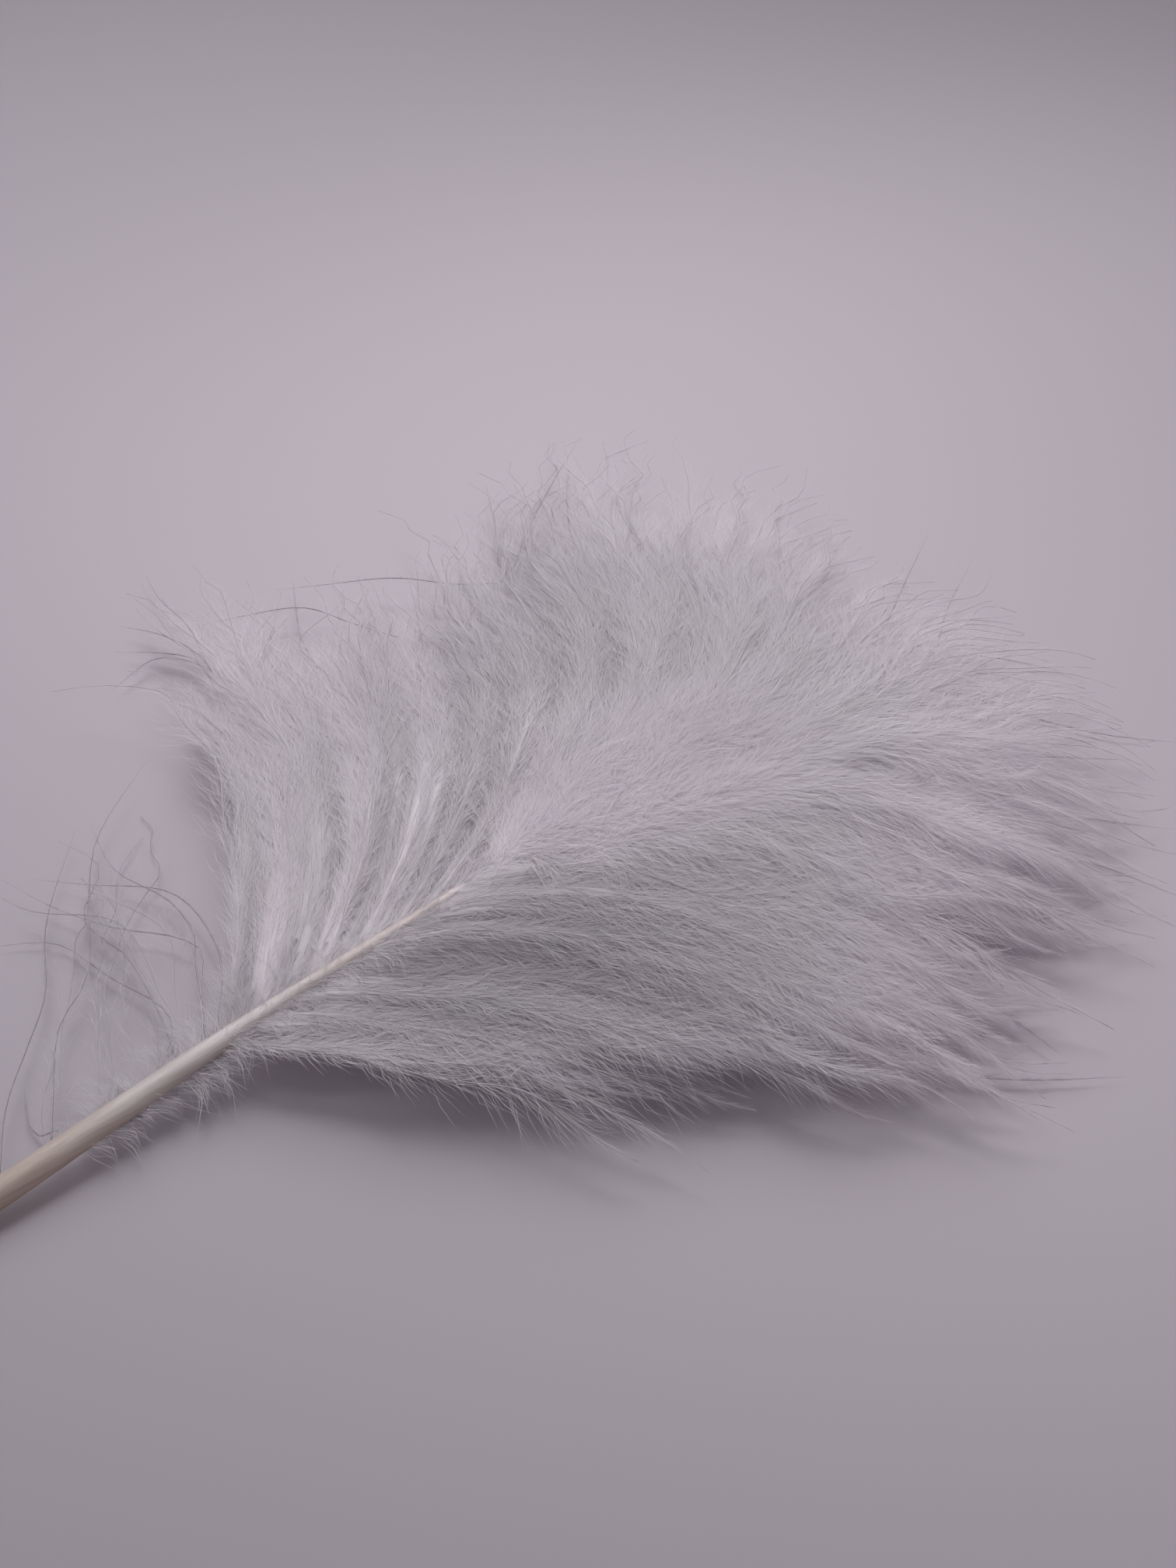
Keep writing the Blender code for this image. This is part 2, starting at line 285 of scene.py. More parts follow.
# Barbules: width at the bend at the lock's root and tip, the longest ones' length and, at
# stations along the lock, their length as a share of it, the angle at which they leave the
# barb, the share that lies close along it, and how far they stand up.
BARBULE_WIDTHS = (0.018, 0.012)
BARBULE_LENGTH = 3.4
BARB_STATIONS = (0.0, 0.12, 0.35, 0.55, 0.70, 0.85, 1.0)
BARBULE_LENGTHS = (0.28, 0.42, 0.85, 1.00, 0.80, 0.55, 0.30)
LEAVING_ANGLES = (46.0, 48.0, 50.0, 48.0, 40.0, 24.0, 12.0)
SILK_SHARES = (0.25, 0.25, 0.28, 0.32, 0.42, 0.55, 0.8)
STANDING = (0.20, 0.20, 0.30, 0.45, 0.55, 0.60, 0.6)
# The share of a barbule's length where it bends, its widest leaving angle, its ending angle and
# the close-lying ones' angle as shares of the leaving one, and its highest rise.
BARBULE_BEND = 0.42
WIDEST_ANGLE = 58.0
ENDING_SHARE = 0.55
SILK_ANGLE = 0.40
HIGHEST_RISE = 0.7
# Ranges of chance: how open each barb's barbules are, and each one's length and two angles. A
# closed barb's are shorter, down to the share, and near a barb's tip they shorten: least share
# and slope.
OPENNESS = (0.6, 1.3)
LENGTH_RANGE = (0.6, 1.4)
LEAVING_RANGE = (0.3, 1.7)
ENDING_RANGE = (0.2, 1.8)
CLOSED_LENGTH = 0.4
TIP_LENGTHS = (0.2, 4.0)
# How far barbules and their blades are rolled, in degrees, and the step of shares over which a
# barb's direction is taken. Barbules run on past their barb's end up to FURTHEST.
ROLL_SCATTER = 70.0
BLADE_ROLL = 14.0
AHEAD_STEP = 0.02
FURTHEST = 1.03
# The lowest height of down, the square that eases it, and the most barbules in a piece.
LOWEST = 0.03
LOW_EASING = 0.04
MOST_QUADS = 95000
# Where fibres lie in their UV place: the range of tones, the first place along a lock and the
# lengths of barbules' and barbs' ranges, a barbule's own patch, and the tones' and places' steps
# at the corners of a barb's walls and ends.
TONE_RANGE = (0.04, 0.96)
BARB_TONE_RANGE = (0.05, 0.95)
FIRST_ALONG = 0.03
ALONG_RANGES = (0.88, 0.92)
BARBULE_PATCH = ((0.0, 0.014, 0.0, -0.014), (0.0, 0.025, 0.05, 0.025))
TONE_PATCHES = ((-0.012, 0.012, 0.012, -0.012), (-0.012, 0.0, 0.012))
ALONG_PATCHES = ((0.0, 0.0, 0.0, 0.0), (0.0, 0.015, 0.0))
# Where the sheet lies in its UV place: its upper side's range across, its first place along and
# that range's length, the lower side's step across, and the rim's strip.
SIDE_ACROSS = (0.01, 0.47)
SIDE_ALONG = (0.02, 0.94)
LOWER_SIDE = 0.5
STRIP_ACROSS = (0.01, 0.99)
STRIP_ALONG = (0.975, 0.975, 0.99, 0.99)
# Where the shaft lies in its UV place: its range along and round, and the places of the middles
# and the rims of its two ends.
SHAFT_RANGE = (0.02, 0.98)
END_MIDDLES = (0.005, 0.995)
END_RIMS = (0.018, 0.982)

# Tufts of short barbs: their number, roots along the shaft, lengths, directions, rise, barbules
# per barb, and the first and last barb's tone. The crest and the crown lie over the shaft's thin
# end, and the others are the short down on both sides of the shaft and next to the quill. The
# tones paint light and shade: lower on the near, right side and highest on the crest on top.
TUFTS = {
    "crest": (170, (45.5, 60.0), (4.0, 12.0), (-24.0, 44.0), 0.7, 340, (1.05, 0.76)),
    "crown": (110, (47.0, 60.0), (5.0, 12.0), (-62.0, 70.0), 0.6, 260, (0.80, 0.72)),
    "side_left": (34, (28.0, 45.0), (1.2, 3.6), (10.0, 36.0), 0.0, 110, (0.86, 0.90)),
    "side_right": (34, (29.0, 42.0), (1.2, 3.0), (-34.0, -12.0), 0.0, 130, (0.60, 0.50)),
    "after_left": (30, (24.0, 33.5), (1.0, 5.0), (20.0, 70.0), 0.3, 130, (0.55, 0.55)),
    "after_right": (30, (23.0, 34.0), (1.5, 5.0), (-14.0, 2.0), 0.0, 90, (0.40, 0.40)),
}
# The power that crowds the roots forward; over the hidden shaft the roots' scatter to the side,
# its limit and their height; the first barb's length and rise as shares of the last one's; and
# where barbules start on a barb.
TUFT_POWER = 0.9
TUFT_SPREAD = 2.0
TUFT_LIMIT = 3.0
TUFT_HEIGHT = 0.8
TUFT_LENGTHS = (0.6, 1.0)
TUFT_RISES = (0.35, 1.0)
BARE_ROOT = 0.12
# The reach of a tuft's two inner handles as a share of its length, their ranges of rise, and
# how each point's direction comes from the barb's own: times and plus, in degrees.
TUFT_REACH = 0.35
LEAVING_RISES = (0.5, 1.2)
ARRIVING_RISES = (0.3, 1.0)
LEAVING_TURN = (0.6, -3.0)
TIP_TURN = (1.0, -4.0)
ARRIVING_TURN = (1.3, -6.0)

# Single strands that strayed from their locks: points (X, Y, height) from root to tip.
STRAYS = (
    ((30.6, -0.1, 2.9), (32.4, 3.4, 2.4), (33.8, 6.6, 1.6), (33.2, 8.0, 1.3), (31.4, 10.1, 1.2),
     (29.6, 13.1, 1.1), (28.2, 16.9, 0.9)),
    ((30.9, -0.1, 2.9), (32.8, 4.7, 2.2), (34.2, 7.8, 1.6), (34.2, 9.8, 1.5), (33.0, 13.2, 1.5),
     (33.6, 17.4, 1.0)),
    ((22.6, 0.2, 1.6), (24.2, 2.8, 2.2), (26.2, 6.1, 2.0), (28.4, 7.9, 1.6), (30.8, 12.1, 1.5),
     (32.9, 15.4, 1.5), (38.0, 19.3, 1.2)),
    ((20.0, 0.2, 1.5), (22.1, 3.6, 1.8), (24.3, 6.1, 1.5), (26.4, 8.4, 1.3), (28.4, 12.3, 1.1),
     (32.9, 17.7, 0.8)),
    ((22.4, -0.2, 1.4), (23.5, 1.6, 1.0), (22.8, 2.0, 0.7), (22.7, 2.9, 0.5), (23.4, 5.0, 0.3)),
    ((28.0, 0.0, 2.4), (30.6, 3.4, 1.6), (29.6, 8.2, 0.8), (28.6, 11.6, 0.6), (25.0, 14.1, 0.4)),
    ((31.4, 0.0, 3.0), (34.6, 6.0, 1.8), (34.6, 10.4, 1.3), (31.5, 13.9, 0.9), (29.6, 16.0, 0.7)),
    ((29.4, 0.0, 2.7), (30.4, 4.6, 1.9), (30.8, 8.4, 1.3), (30.3, 11.8, 1.1), (32.6, 14.6, 0.9),
     (31.8, 17.6, 0.7)),
    ((62.0, 15.0, 3.6), (60.6, 17.4, 3.0), (59.0, 19.4, 2.4), (56.6, 22.4, 2.1),
     (52.8, 24.7, 2.0), (50.5, 26.2, 1.8)),
    ((53.4, 17.6, 2.8), (52.4, 20.6, 2.2), (51.0, 23.8, 1.9), (47.7, 25.5, 1.8), (45.8, 26.4, 1.6)),
    ((43.6, 21.4, 2.4), (44.6, 24.6, 1.9), (45.1, 27.0, 1.6), (45.0, 30.2, 1.4), (45.6, 33.0, 0.9)),
    ((44.0, 22.0, 2.2), (44.3, 25.0, 1.6), (43.4, 28.0, 1.2), (42.2, 30.0, 0.9)),
    ((43.8, 21.6, 2.0), (44.0, 24.6, 1.4), (42.7, 26.7, 1.0), (41.0, 28.3, 0.8)),
    ((43.6, 21.0, 1.8), (44.0, 24.2, 1.3), (42.6, 26.2, 1.0), (39.4, 25.7, 0.8)),
    ((50.0, 12.0, 3.4), (51.9, 16.2, 2.6), (53.6, 20.4, 2.1), (54.9, 23.8, 1.7)),
    ((53.0, 13.8, 3.2), (54.6, 17.0, 2.6), (55.6, 18.8, 2.2), (57.0, 21.6, 1.8)),
    ((48.6, 18.4, 2.6), (49.4, 21.4, 2.2), (50.4, 23.6, 1.8), (52.0, 26.6, 1.4)),
    ((56.2, 15.4, 3.0), (58.4, 17.0, 2.6), (60.6, 18.0, 2.4), (64.4, 20.2, 1.8)),
    ((61.6, 17.6, 3.0), (64.5, 20.3, 2.7), (68.4, 23.2, 2.3), (73.0, 26.4, 1.6)),
    ((63.4, 13.0, 3.4), (65.4, 16.5, 2.9), (67.6, 20.2, 2.4), (71.0, 24.8, 1.6)),
    ((64.6, 12.4, 3.2), (66.2, 15.4, 2.8), (67.4, 16.6, 2.5), (70.0, 20.2, 1.9)),
    ((61.4, 17.6, 2.8), (62.9, 20.6, 2.4), (63.9, 22.6, 2.1), (66.2, 26.8, 1.4)),
    ((61.0, -5.6, 4.4), (66.2, -3.4, 5.0), (70.0, -1.6, 4.6), (74.6, 0.5, 3.8), (79.2, 3.2, 3.0),
     (84.0, 6.0, 2.2)),
    ((60.6, -8.2, 3.8), (65.5, -6.4, 4.6), (69.6, -4.8, 4.2), (74.6, -3.2, 3.6),
     (79.0, -0.2, 3.0), (84.2, 2.6, 2.2)),
    ((70.8, -1.6, 3.8), (75.4, -5.9, 2.9), (77.2, -8.8, 2.6), (79.5, -11.8, 2.3), (82.8, -14.6, 1.8)),
    ((65.6, -4.4, 3.6), (70.0, -7.2, 2.8), (74.3, -9.9, 2.4), (79.6, -13.7, 1.8)),
    ((62.0, -7.2, 3.4), (67.7, -10.7, 2.7), (72.3, -13.5, 2.3), (77.8, -18.3, 1.6)),
    ((63.8, -10.0, 3.0), (69.4, -14.2, 2.2), (72.0, -16.6, 1.9), (75.0, -21.6, 1.2)),
    ((58.0, -10.4, 3.4), (62.5, -13.0, 2.6), (67.4, -18.0, 1.8), (73.4, -19.4, 1.2)),
    ((57.2, -14.4, 2.6), (60.8, -17.2, 1.8), (62.6, -20.9, 1.2), (63.2, -24.0, 0.8)),
    ((53.0, -16.6, 2.0), (57.1, -20.6, 1.2), (60.3, -23.5, 0.8), (64.8, -26.6, 0.5)),
)
# A stray's thickness, its barbules' size and number, which is the second from FUZZY_FROM on at
# the right, and its place and range in the darker part of the colours, painted shade on strands.
STRAY_THICKNESS = (0.11, 0.06)
STRAY_BARBULE_SIZE = 0.3
STRAY_BARBULES = (130, 520)
FUZZY_FROM = 52.5
STRAY_PLACES = (0.62, 0.36)

# The stage, in metres and degrees: the floor's half width and colour; the even fill's colour
# and strength; the camera's place, turn, half of its view's height, sensor in millimetres and
# nearest distance; how often light bounces between matt things; and the lights' colour, and
# each one's power, size, place, target and spread.
FLOOR_HALF = 1.5
FLOOR_COLOUR = (0.64, 0.585, 0.645, 1.0)
FILL_COLOUR = (0.95, 0.93, 0.96, 1.0)
FILL_STRENGTH = 0.235
CAMERA_PLACE = (-0.02735, -0.05385, 0.07654)
CAMERA_TURN = (42.0, 0.0, -38.0)
HALF_VIEW = 22.5
SENSOR = 36.0
NEAREST = 0.005
BOUNCES = 8
LIGHT_COLOUR = (1.0, 0.98, 1.0)
LIGHTS = {
    "key": (0.0450, 0.28, (0.1041, 0.1333, 0.213), (0.0123, 0.0158, 0.0), 70.0),
    "overhead_left": (0.0098, 0.12, (0.0281, 0.0685, 0.1773), (0.0089, 0.0438, 0.0), 40.0),
    "overhead_right": (0.0071, 0.12, (0.0740, 0.0135, 0.1773), (0.0548, -0.0111, 0.0), 25.0),
}


def in_metres(points):
    """Points of the plume's own frame, in the scene's metres."""
    return (np.asarray(points) + (*QUILL_END, 0.0)) * MM


def smooth(at, stations, values):
    """A cubic curve through the values, whose slope at each station comes from its neighbours."""
    stations = np.asarray(stations, float)
    values = np.asarray(values, float)
    slopes = np.gradient(values, stations, axis=0)
    left = np.clip(np.searchsorted(stations, at, side="right") - 1, 0, len(stations) - 2)
    width = stations[left + 1] - stations[left]
    part = (at - stations[left]) / width
    if values.ndim == 2:
        part = part[:, None]
        width = width[:, None]
    return (
        values[left] * (1 + 2 * part) * (1 - part) ** 2
        + values[left + 1] * part**2 * (3 - 2 * part)
        + slopes[left] * width * part * (1 - part) ** 2
        + slopes[left + 1] * width * part**2 * (part - 1)
    )


def between(ends, share):
    """The value at a share of the way from the first end to the second."""
    return ends[0] + (ends[1] - ends[0]) * share


def passed(share, span):
    """How much of a span of shares has been passed: 0 before it and 1 after it."""
    return np.clip((share - span[0]) / (span[1] - span[0]), 0, 1)


def eased(share):
    """A share that starts and ends slowly: three of its squares less two of its cubes."""
    return share**2 * (3 - 2 * share)


def waves(place, table):
    """The sum of sine waves along a place, each with its size, rate and phase."""
    return sum(size * np.sin(rate * place + phase) for size, rate, phase in table)


def unit(vectors):
    """The vectors divided by their lengths."""
    return vectors / np.maximum(np.linalg.norm(vectors, axis=-1, keepdims=True), 1e-9)


def heading(degrees):
    """Unit vectors along the surface, turned left from +X."""
    angle = np.radians(degrees)
    return np.column_stack([np.cos(angle), np.sin(angle), np.zeros_like(angle)])


def shaft_points(x):
    """The shaft's middle line at the distances x from the quill's end."""
    side = smooth(x, SHAFT_STATIONS, SHAFT_SIDE)
    height = smooth(x, SHAFT_STATIONS, SHAFT_HEIGHT)
    return np.column_stack([x, side, height])


def lock_handles(rim, count, roots, random):
    """The four Bezier points of each lock of a group, as an array of count, 4 and 3."""
    rim = np.array(rim)
    share = np.linspace(0.0, 1.0, count)
    outline = smooth(share, rim[:, 0], rim[:, 1:])
    scatter = random.uniform(-1, 1, (count, 5))
    root = shaft_points(between(roots, share))
    tip = outline[:, :3] + scatter[:, :3] * TIP_SCATTER
    tip += (tip - root) * scatter[:, 3:4] * LENGTH_SCATTER * (1, 1, 0)
    length = np.linalg.norm(tip - root, axis=1)[:, None]
    layer = np.where(np.arange(count) % 2, -LAYER_STEP / 2, LAYER_STEP / 2)[:, None]
    turn = scatter[:, 4] * ANGLE_SCATTER
    near_root = root + length * ROOT_REACH * heading(outline[:, 3] + turn * 0.5)
    near_root += UP * (ROOT_RISE * length + layer)
    near_tip = tip - length * TIP_REACH * heading(outline[:, 4] + turn)
    near_tip += UP * (TIP_RISE * length + layer)
    resting = np.arange(count) % RESTING_LOCK == 1
    near_tip[resting, 2], tip[resting, 2] = RESTING_HEIGHTS
    return np.stack([root, near_root, near_tip, tip], axis=1)


def bezier_weights(part):
    """The shares of a cubic Bezier curve's four points at the shares part of its length."""
    rest = 1 - part
    return np.stack([rest**3, 3 * part * rest**2, 3 * part**2 * rest, part**3], axis=-1)


def level_normals(handles):
    """For each curve, the level direction square to the line from its root to its tip."""
    along = handles[:, 3] - handles[:, 0]
    return unit(np.column_stack([-along[:, 1], along[:, 0], np.zeros(len(along))]))


def locks():
    """For each group, the handles of its locks and the phases of their sway, as in the solid."""
    random = np.random.RandomState(LOCK_SEED)
    drawn = {}
    for group, (rim, count, roots) in LOCK_GROUPS.items():
        handles = lock_handles(rim, count, roots, random)
        phase = random.uniform(0, 2 * np.pi, (2, count, 1, 1))
        random.uniform(-1, 1, count)
        drawn[group] = handles, phase
    return drawn


def curves_between(handles, phase, place, part):
    """Points at the fractional places among a group's locks and the shares part of their length.

    A lock's point is that of its Bezier curve plus its sway, and a place between two locks
    takes its share of both. place and part have the same shape, of barbs and rings.
    """
    low = np.clip(place.astype(int), 0, len(handles) - 2)
    share = np.clip(place - low, 0, 1)[..., None]
    weights = bezier_weights(part)[..., None]
    across = level_normals(handles)
    points = 0
    for lock, weight in ((low, 1 - share), (low + 1, share)):
        turn = 2 * np.pi * WAVE_COUNT * part + phase[:, :, 0, 0][:, lock]
        sway = (np.sin(turn) * np.sin(np.pi * part))[..., None]
        curve = (handles[lock] * weights).sum(axis=2)
        curve = curve + WAVE[0] * sway[0] * across[lock] + WAVE[1] * sway[1] * UP
        points = points + weight * curve
    return points


def fan_handles(drawn):
    """The handles of the left, tip and right locks in a row round the plume, evened out.

    Each lock's handles are averaged with those of the two locks on either side, with weights
    1, 4, 6, 4 and 1, so that the sagging locks and the two layers even out. The second handle
    is turned forward round the first by the lean there.
    """
    row = np.concatenate([drawn["left"][0], drawn["tip"][0], drawn["right"][0][::-1]])
    padded = np.concatenate([row[:1], row[:1], row, row[-1:], row[-1:]])
    count = len(row)
    weights = np.array([1, 4, 6, 4, 1]) / 16
    fan = sum(weight * padded[i : i + count] for i, weight in enumerate(weights))
    lean = np.radians(np.interp(np.arange(count), SHEET_PLACES, SHEET_LEAN))
    leaving = (fan[:, 1] - fan[:, 0]) * SHEET_ROOT_REACH / ROOT_REACH
    fan[:, 1, 0] = fan[:, 0, 0] + leaving[:, 0] * np.cos(lean) + leaving[:, 1] * np.sin(lean)
    fan[:, 1, 1] = fan[:, 0, 1] - leaving[:, 0] * np.sin(lean) + leaving[:, 1] * np.cos(lean)
    return fan


def rope_turn(place, part=0.0):
    """The phase of the ropes at places round the plume; a rope's middle is at whole turns.

    It is the place over the ropes' width, plus waves that make them uneven, plus one that grows
    outwards and makes them curve.
    """
    even = 2 * np.pi * place / ROPE_LOCKS
    return even + waves(place, ROPE_WAVES) + part * waves(place, ROPE_CURVE)


def ropes(place, part=0.0):
    """Ropes and the finer strands in them: 1 in a rope's middle and -1 between two ropes."""
    turn = rope_turn(place, part)
    rate, phase, turning = STRANDS
    return ROPE_BLEND[0] * np.cos(turn) + ROPE_BLEND[1] * np.cos(rate * turn + phase + turning * part)


def rope_strength(place, part=1.0):
    """How strong the ropes are at places round the plume and shares of the length.

    Round the tip, where the barbs' roots crowd together, they grow from nothing at the shaft.
    """
    crowded = np.interp(place, *CROWDING) * np.clip(1 - part / CROWDED_REACH, 0, 1)
    return np.interp(place, SHEET_PLACES, SHEET_ROPES) * (1 - crowded)


def flames(place, part):
    """Short overlapping tufts on the inner down, weaker where the ropes are weak.

    They are the product of two waves, across and along, whose phases wander with each other.
    """
    width, wander, rate, lean = FLAMES_ACROSS
    across = np.sin(2 * np.pi * place / width + wander * np.sin(rate * part + lean * place))
    rate, wander, lean = FLAMES_ALONG
    along = np.sin(rate * part + wander * np.sin(lean * place))
    return across * along * np.minimum(rope_strength(place, part) / FULL_FLAMES, 1)


def over_shaft(root):
    """How far the down hides the shaft at the distances root from the quill's end."""
    return np.interp(root, SHAFT_HIDING, (0.0, 1.0))


def sheet_top(fan, place, part):
    """Points of the inner down's upper side at places round the plume and shares of the length.

    It is the locks' evened Bezier curve there, plus a ridge along each rope, the flames, clouds
    made of two crossing waves, a cover that fades outwards over the hidden shaft, and a step
    beside the bare one.
    """
    low = np.clip(place.astype(int), 0, len(fan) - 2)
    share = np.clip(place - low, 0, 1)[..., None, None]
    handles = fan[low] * (1 - share) + fan[low + 1] * share
    points = (handles * bezier_weights(part)[..., None]).sum(axis=-2)
    inside = np.clip((smooth(place, SHEET_PLACES, SHEET_REACH) - part) / RIM_FADE, 0, 1)
    buried = over_shaft(handles[..., 0, 0])
    calm = CALMNESS[0] * buried * np.exp(-((part / CALMNESS[1]) ** 2))
    swell = np.interp(part, *SWELL) * inside * (1 - calm)
    ridge = ROPE_HEIGHT * ropes(place, part) * rope_strength(place, part)
    cloud = np.prod([np.sin(a * points[..., 0] + b * points[..., 1]) for a, b in CLOUD_WAVES], axis=0)
    relief = (ridge + FLAME_HEIGHT * flames(place, part) + CLOUD_HEIGHT * cloud) * swell
    cover = SHAFT_COVER * buried * np.exp(-part / SHAFT_COVER_REACH)
    step = ROOT_STEP[0] * (1 - np.exp(-part / ROOT_STEP[1])) * (1 - buried)
    return points + (relief + cover + step)[..., None] * UP


def lay_on_sheet(paths, top):
    """Short barbs laid on the inner down, from a little way out of their roots to their tips.

    The down's height under a point is the mean of its upper side's points, top, weighed by a
    bell curve of their level distance. Beside the inner down the barbs keep their heights.
    """
    flat = paths.reshape(-1, 3)
    away = (flat[:, None, 0] - top[None, :, 0]) ** 2 + (flat[:, None, 1] - top[None, :, 1]) ** 2
    weight = np.exp(-away / (2 * NEAR_SHEET**2))
    height = (weight @ top[:, 2] / np.maximum(weight.sum(axis=1), 1e-9)).reshape(paths.shape[:2])
    over = np.clip(weight.max(axis=1) / OVER_SHEET, 0, 1).reshape(paths.shape[:2])
    share = np.linspace(0, 1, paths.shape[1])
    kept = KEPT_RISE * np.maximum(paths[..., 2] - height, 0) * (1 - share)
    laid = height + LAID_HEIGHT + kept
    paths[..., 2] += (laid - paths[..., 2]) * over * np.clip(share / LAID_FROM, 0, 1)
    return paths


def bedded(path, fan, place, part, lift, random):
    """Barbs that lie on the inner down at first and leave it for the locks' own curves.

    Their heights are first evened towards the sheet's. On the sheet each comes out from under
    it at its own place near the root, and lies higher by a share of its lift. Off the sheet the
    whole lift counts, in an arch.
    """
    upper = sheet_top(fan, place, part)
    path[..., 2] += (upper[..., 2] - path[..., 2]) * EVENNESS
    furthest = HIDDEN_SHARES[0] + HIDDEN_SHARES[1] * over_shaft(path[:, :1, 0])
    hidden = random.uniform(0.0, 1.0, (len(path), 1)) * furthest
    start, slope, least = DEPTH_SLOPE
    sunk = np.clip(start - slope * part / (hidden + least), 0, 1)[..., None]
    height, lifted, in_full = BEDDING
    above = height + lifted * np.abs(lift) * np.clip(part / in_full, 0, 1)[..., None]
    upper = upper + (above - DEPTH * sunk) * UP
    leave = eased(passed(part, LEAVES_OVER))[..., None]
    arch = np.sin(np.pi * part * LIFT_ARCH)[..., None]
    return upper * (1 - leave) + (path + lift * arch * UP) * leave


def barb_paths(group, drawn, fan, per_lock, stray, random):
    """A group's barbs: middle lines, reach, places round the plume, and which ones are loose.

    The barbs' roots are spread evenly among the locks. Going outwards a barb first closes in on
    the rope that is nearest, then parts from it again, and at its tip is drawn to the nearest
    lock. Its own spread, ripple and wandering grow from nothing at the root.
    """
    handles, phase = drawn[group]
    count = len(handles) * per_lock
    start = (np.arange(count) + random.uniform(0.0, 1.0, count)) / per_lock - 0.5
    start = np.clip(start, 0, len(handles) - 1)[:, None]
    loose = random.uniform(0, 1, (count, 1)) < LOOSE_SHARE
    short = random.uniform(0, 1, (count, 1)) ** SHORT_POWER
    reach = 1 - np.where(loose, SHORTENING[1], SHORTENING[0]) * short
    part = np.linspace(0, 1, BARB_RINGS) * reach
    first, way = FIRST_PLACES[group]
    around = first + way * start
    rope = way * np.sin(rope_turn(around, part)) * ROPE_LOCKS / (2 * np.pi)
    pull = rope_strength(around) * ROPE_PULL * np.interp(part, ROPE_STATIONS, ROPE_SHARES)
    place = start - rope * pull + (np.rint(start) - start) * TIP_PULL * eased(part)
    path = curves_between(handles, phase, place, part)
    across = level_normals(handles)[np.rint(start[:, 0]).astype(int)][:, None, :]
    layer = np.arange(count) % len(LAYER_HEIGHTS)
    lift = random.normal(0, BARB_SPREAD[1], (count, 1, 1))
    lift += np.array(LAYER_HEIGHTS)[layer][:, None, None]
    loose = loose[:, :, None]
    lift += np.where(loose, LOOSE_LIFT, 0.0)
    if group != "base":
        path = bedded(path, fan, first + way * place, part, lift, random)
    part = part[:, :, None]
    spread = random.normal(0, BARB_SPREAD[0], (count, 1, 1)) * part ** SPREAD_POWERS[0]
    strayed = np.where(loose, random.uniform(-1, 1, (count, 1, 1)), 0) * stray
    spread = spread + strayed * part ** SPREAD_POWERS[1]
    rate = random.uniform(*BARB_WAVES, (count, 1, 1))
    turn = random.uniform(0, 2 * np.pi, (count, 1, 1))
    ripple = BARB_RIPPLE * np.sin(2 * np.pi * rate * part + turn) * part
    wander = flow_wander(path, layer)[:, :, None] * part
    return path + (spread + ripple + wander) * across, reach[:, 0], around[:, 0], loose[:, 0, 0]


def flow_wander(path, layer):
    """A smooth side step of points: three crossing waves, whose phases differ between layers.

    The first wave bends the third.
    """
    phase = LAYER_PHASE * layer[:, None]
    turns = [
        2 * np.pi / FLOW_LENGTH * rate * (along * path[..., 0] + aside * path[..., 1]) + turning * phase
        for _, rate, (along, aside), turning in FLOW_WAVES
    ]
    turns[2] = turns[2] + FLOW_BEND * np.sin(turns[0])
    return FLOW_WANDER * sum(wave[0] * np.sin(turn) for wave, turn in zip(FLOW_WAVES, turns))


def barb_tones(around):
    """Barbs' painted light and shade at places round the plume, at the shaft and further out."""
    inner = smooth(around, SHEET_PLACES, INNER_LIGHT_AND_SHADE)
    inner = inner + ROPE_LIGHT_AND_SHADE * ropes(around) * rope_strength(around, ROPE_TONE_AT)
    return np.column_stack([inner, smooth(around, SHEET_PLACES, OUTER_LIGHT_AND_SHADE)])


def tone_at(tones, share):
    """The tone at a share of the locks' length, from a barb's first tone to its second one."""
    faded = passed(share, TONES_OVER)
    return tones[..., 0] * (1 - faded) + tones[..., 1] * faded


def thinned(around, share):
    """The share of barbules that is missing at places round the plume and shares of the length."""
    return np.interp(around, SHEET_PLACES, THINNING) * passed(share, THINS_OVER)


def at_share(paths, index, share):
    """Points of the paths with those indices, at shares of their length; past 1 they run on."""
    rings = paths.shape[1] - 1
    place = share * rings
    low = np.clip(place.astype(int), 0, rings - 1)
    rest = (place - low)[:, None]
    return paths[index, low] * (1 - rest) + paths[index, low + 1] * rest


def above_surface(points):
    """Points with their heights eased so that none is lower than LOWEST."""
    height = points[..., 2] - LOWEST
    points[..., 2] = LOWEST + 0.5 * (height + np.sqrt(height**2 + LOW_EASING))
    return points


def barbule_starts(paths, reach, gaps, cover, random):
    """Where barbules leave their barbs: the barbs' numbers and the shares of the locks' length.

    At each share of a lock's length so many leave a millimetre that their blades cover the
    wanted part of the gap between two barbs: the cover times the gap, over half the product of
    a blade's length and width. gaps are those at the roots and the tips.
    """
    fine = np.linspace(*SAMPLED_SHARES)
    size = BARBULE_LENGTH * np.interp(fine, BARB_STATIONS, BARBULE_LENGTHS)
    blade = 0.5 * size * between(BARBULE_WIDTHS, fine)
    grown = np.cumsum(np.interp(fine, BARB_STATIONS, cover) * between(gaps, fine) / blade) / len(fine)
    most = np.interp(reach, fine, grown)
    lengths = np.linalg.norm(np.diff(paths, axis=1), axis=2).sum(axis=1) / reach
    index = np.repeat(np.arange(len(paths)), random.poisson(lengths * most))
    return index, np.interp(random.uniform(0, 1, len(index)) * most[index], grown, fine)


def plain_starts(paths, per_barb, random):
    """Starts of the same number of barbules on each barb, spread evenly past its bare root."""
    index = np.repeat(np.arange(len(paths)), per_barb)
    return index, random.uniform(BARE_ROOT, 1.0, len(index))


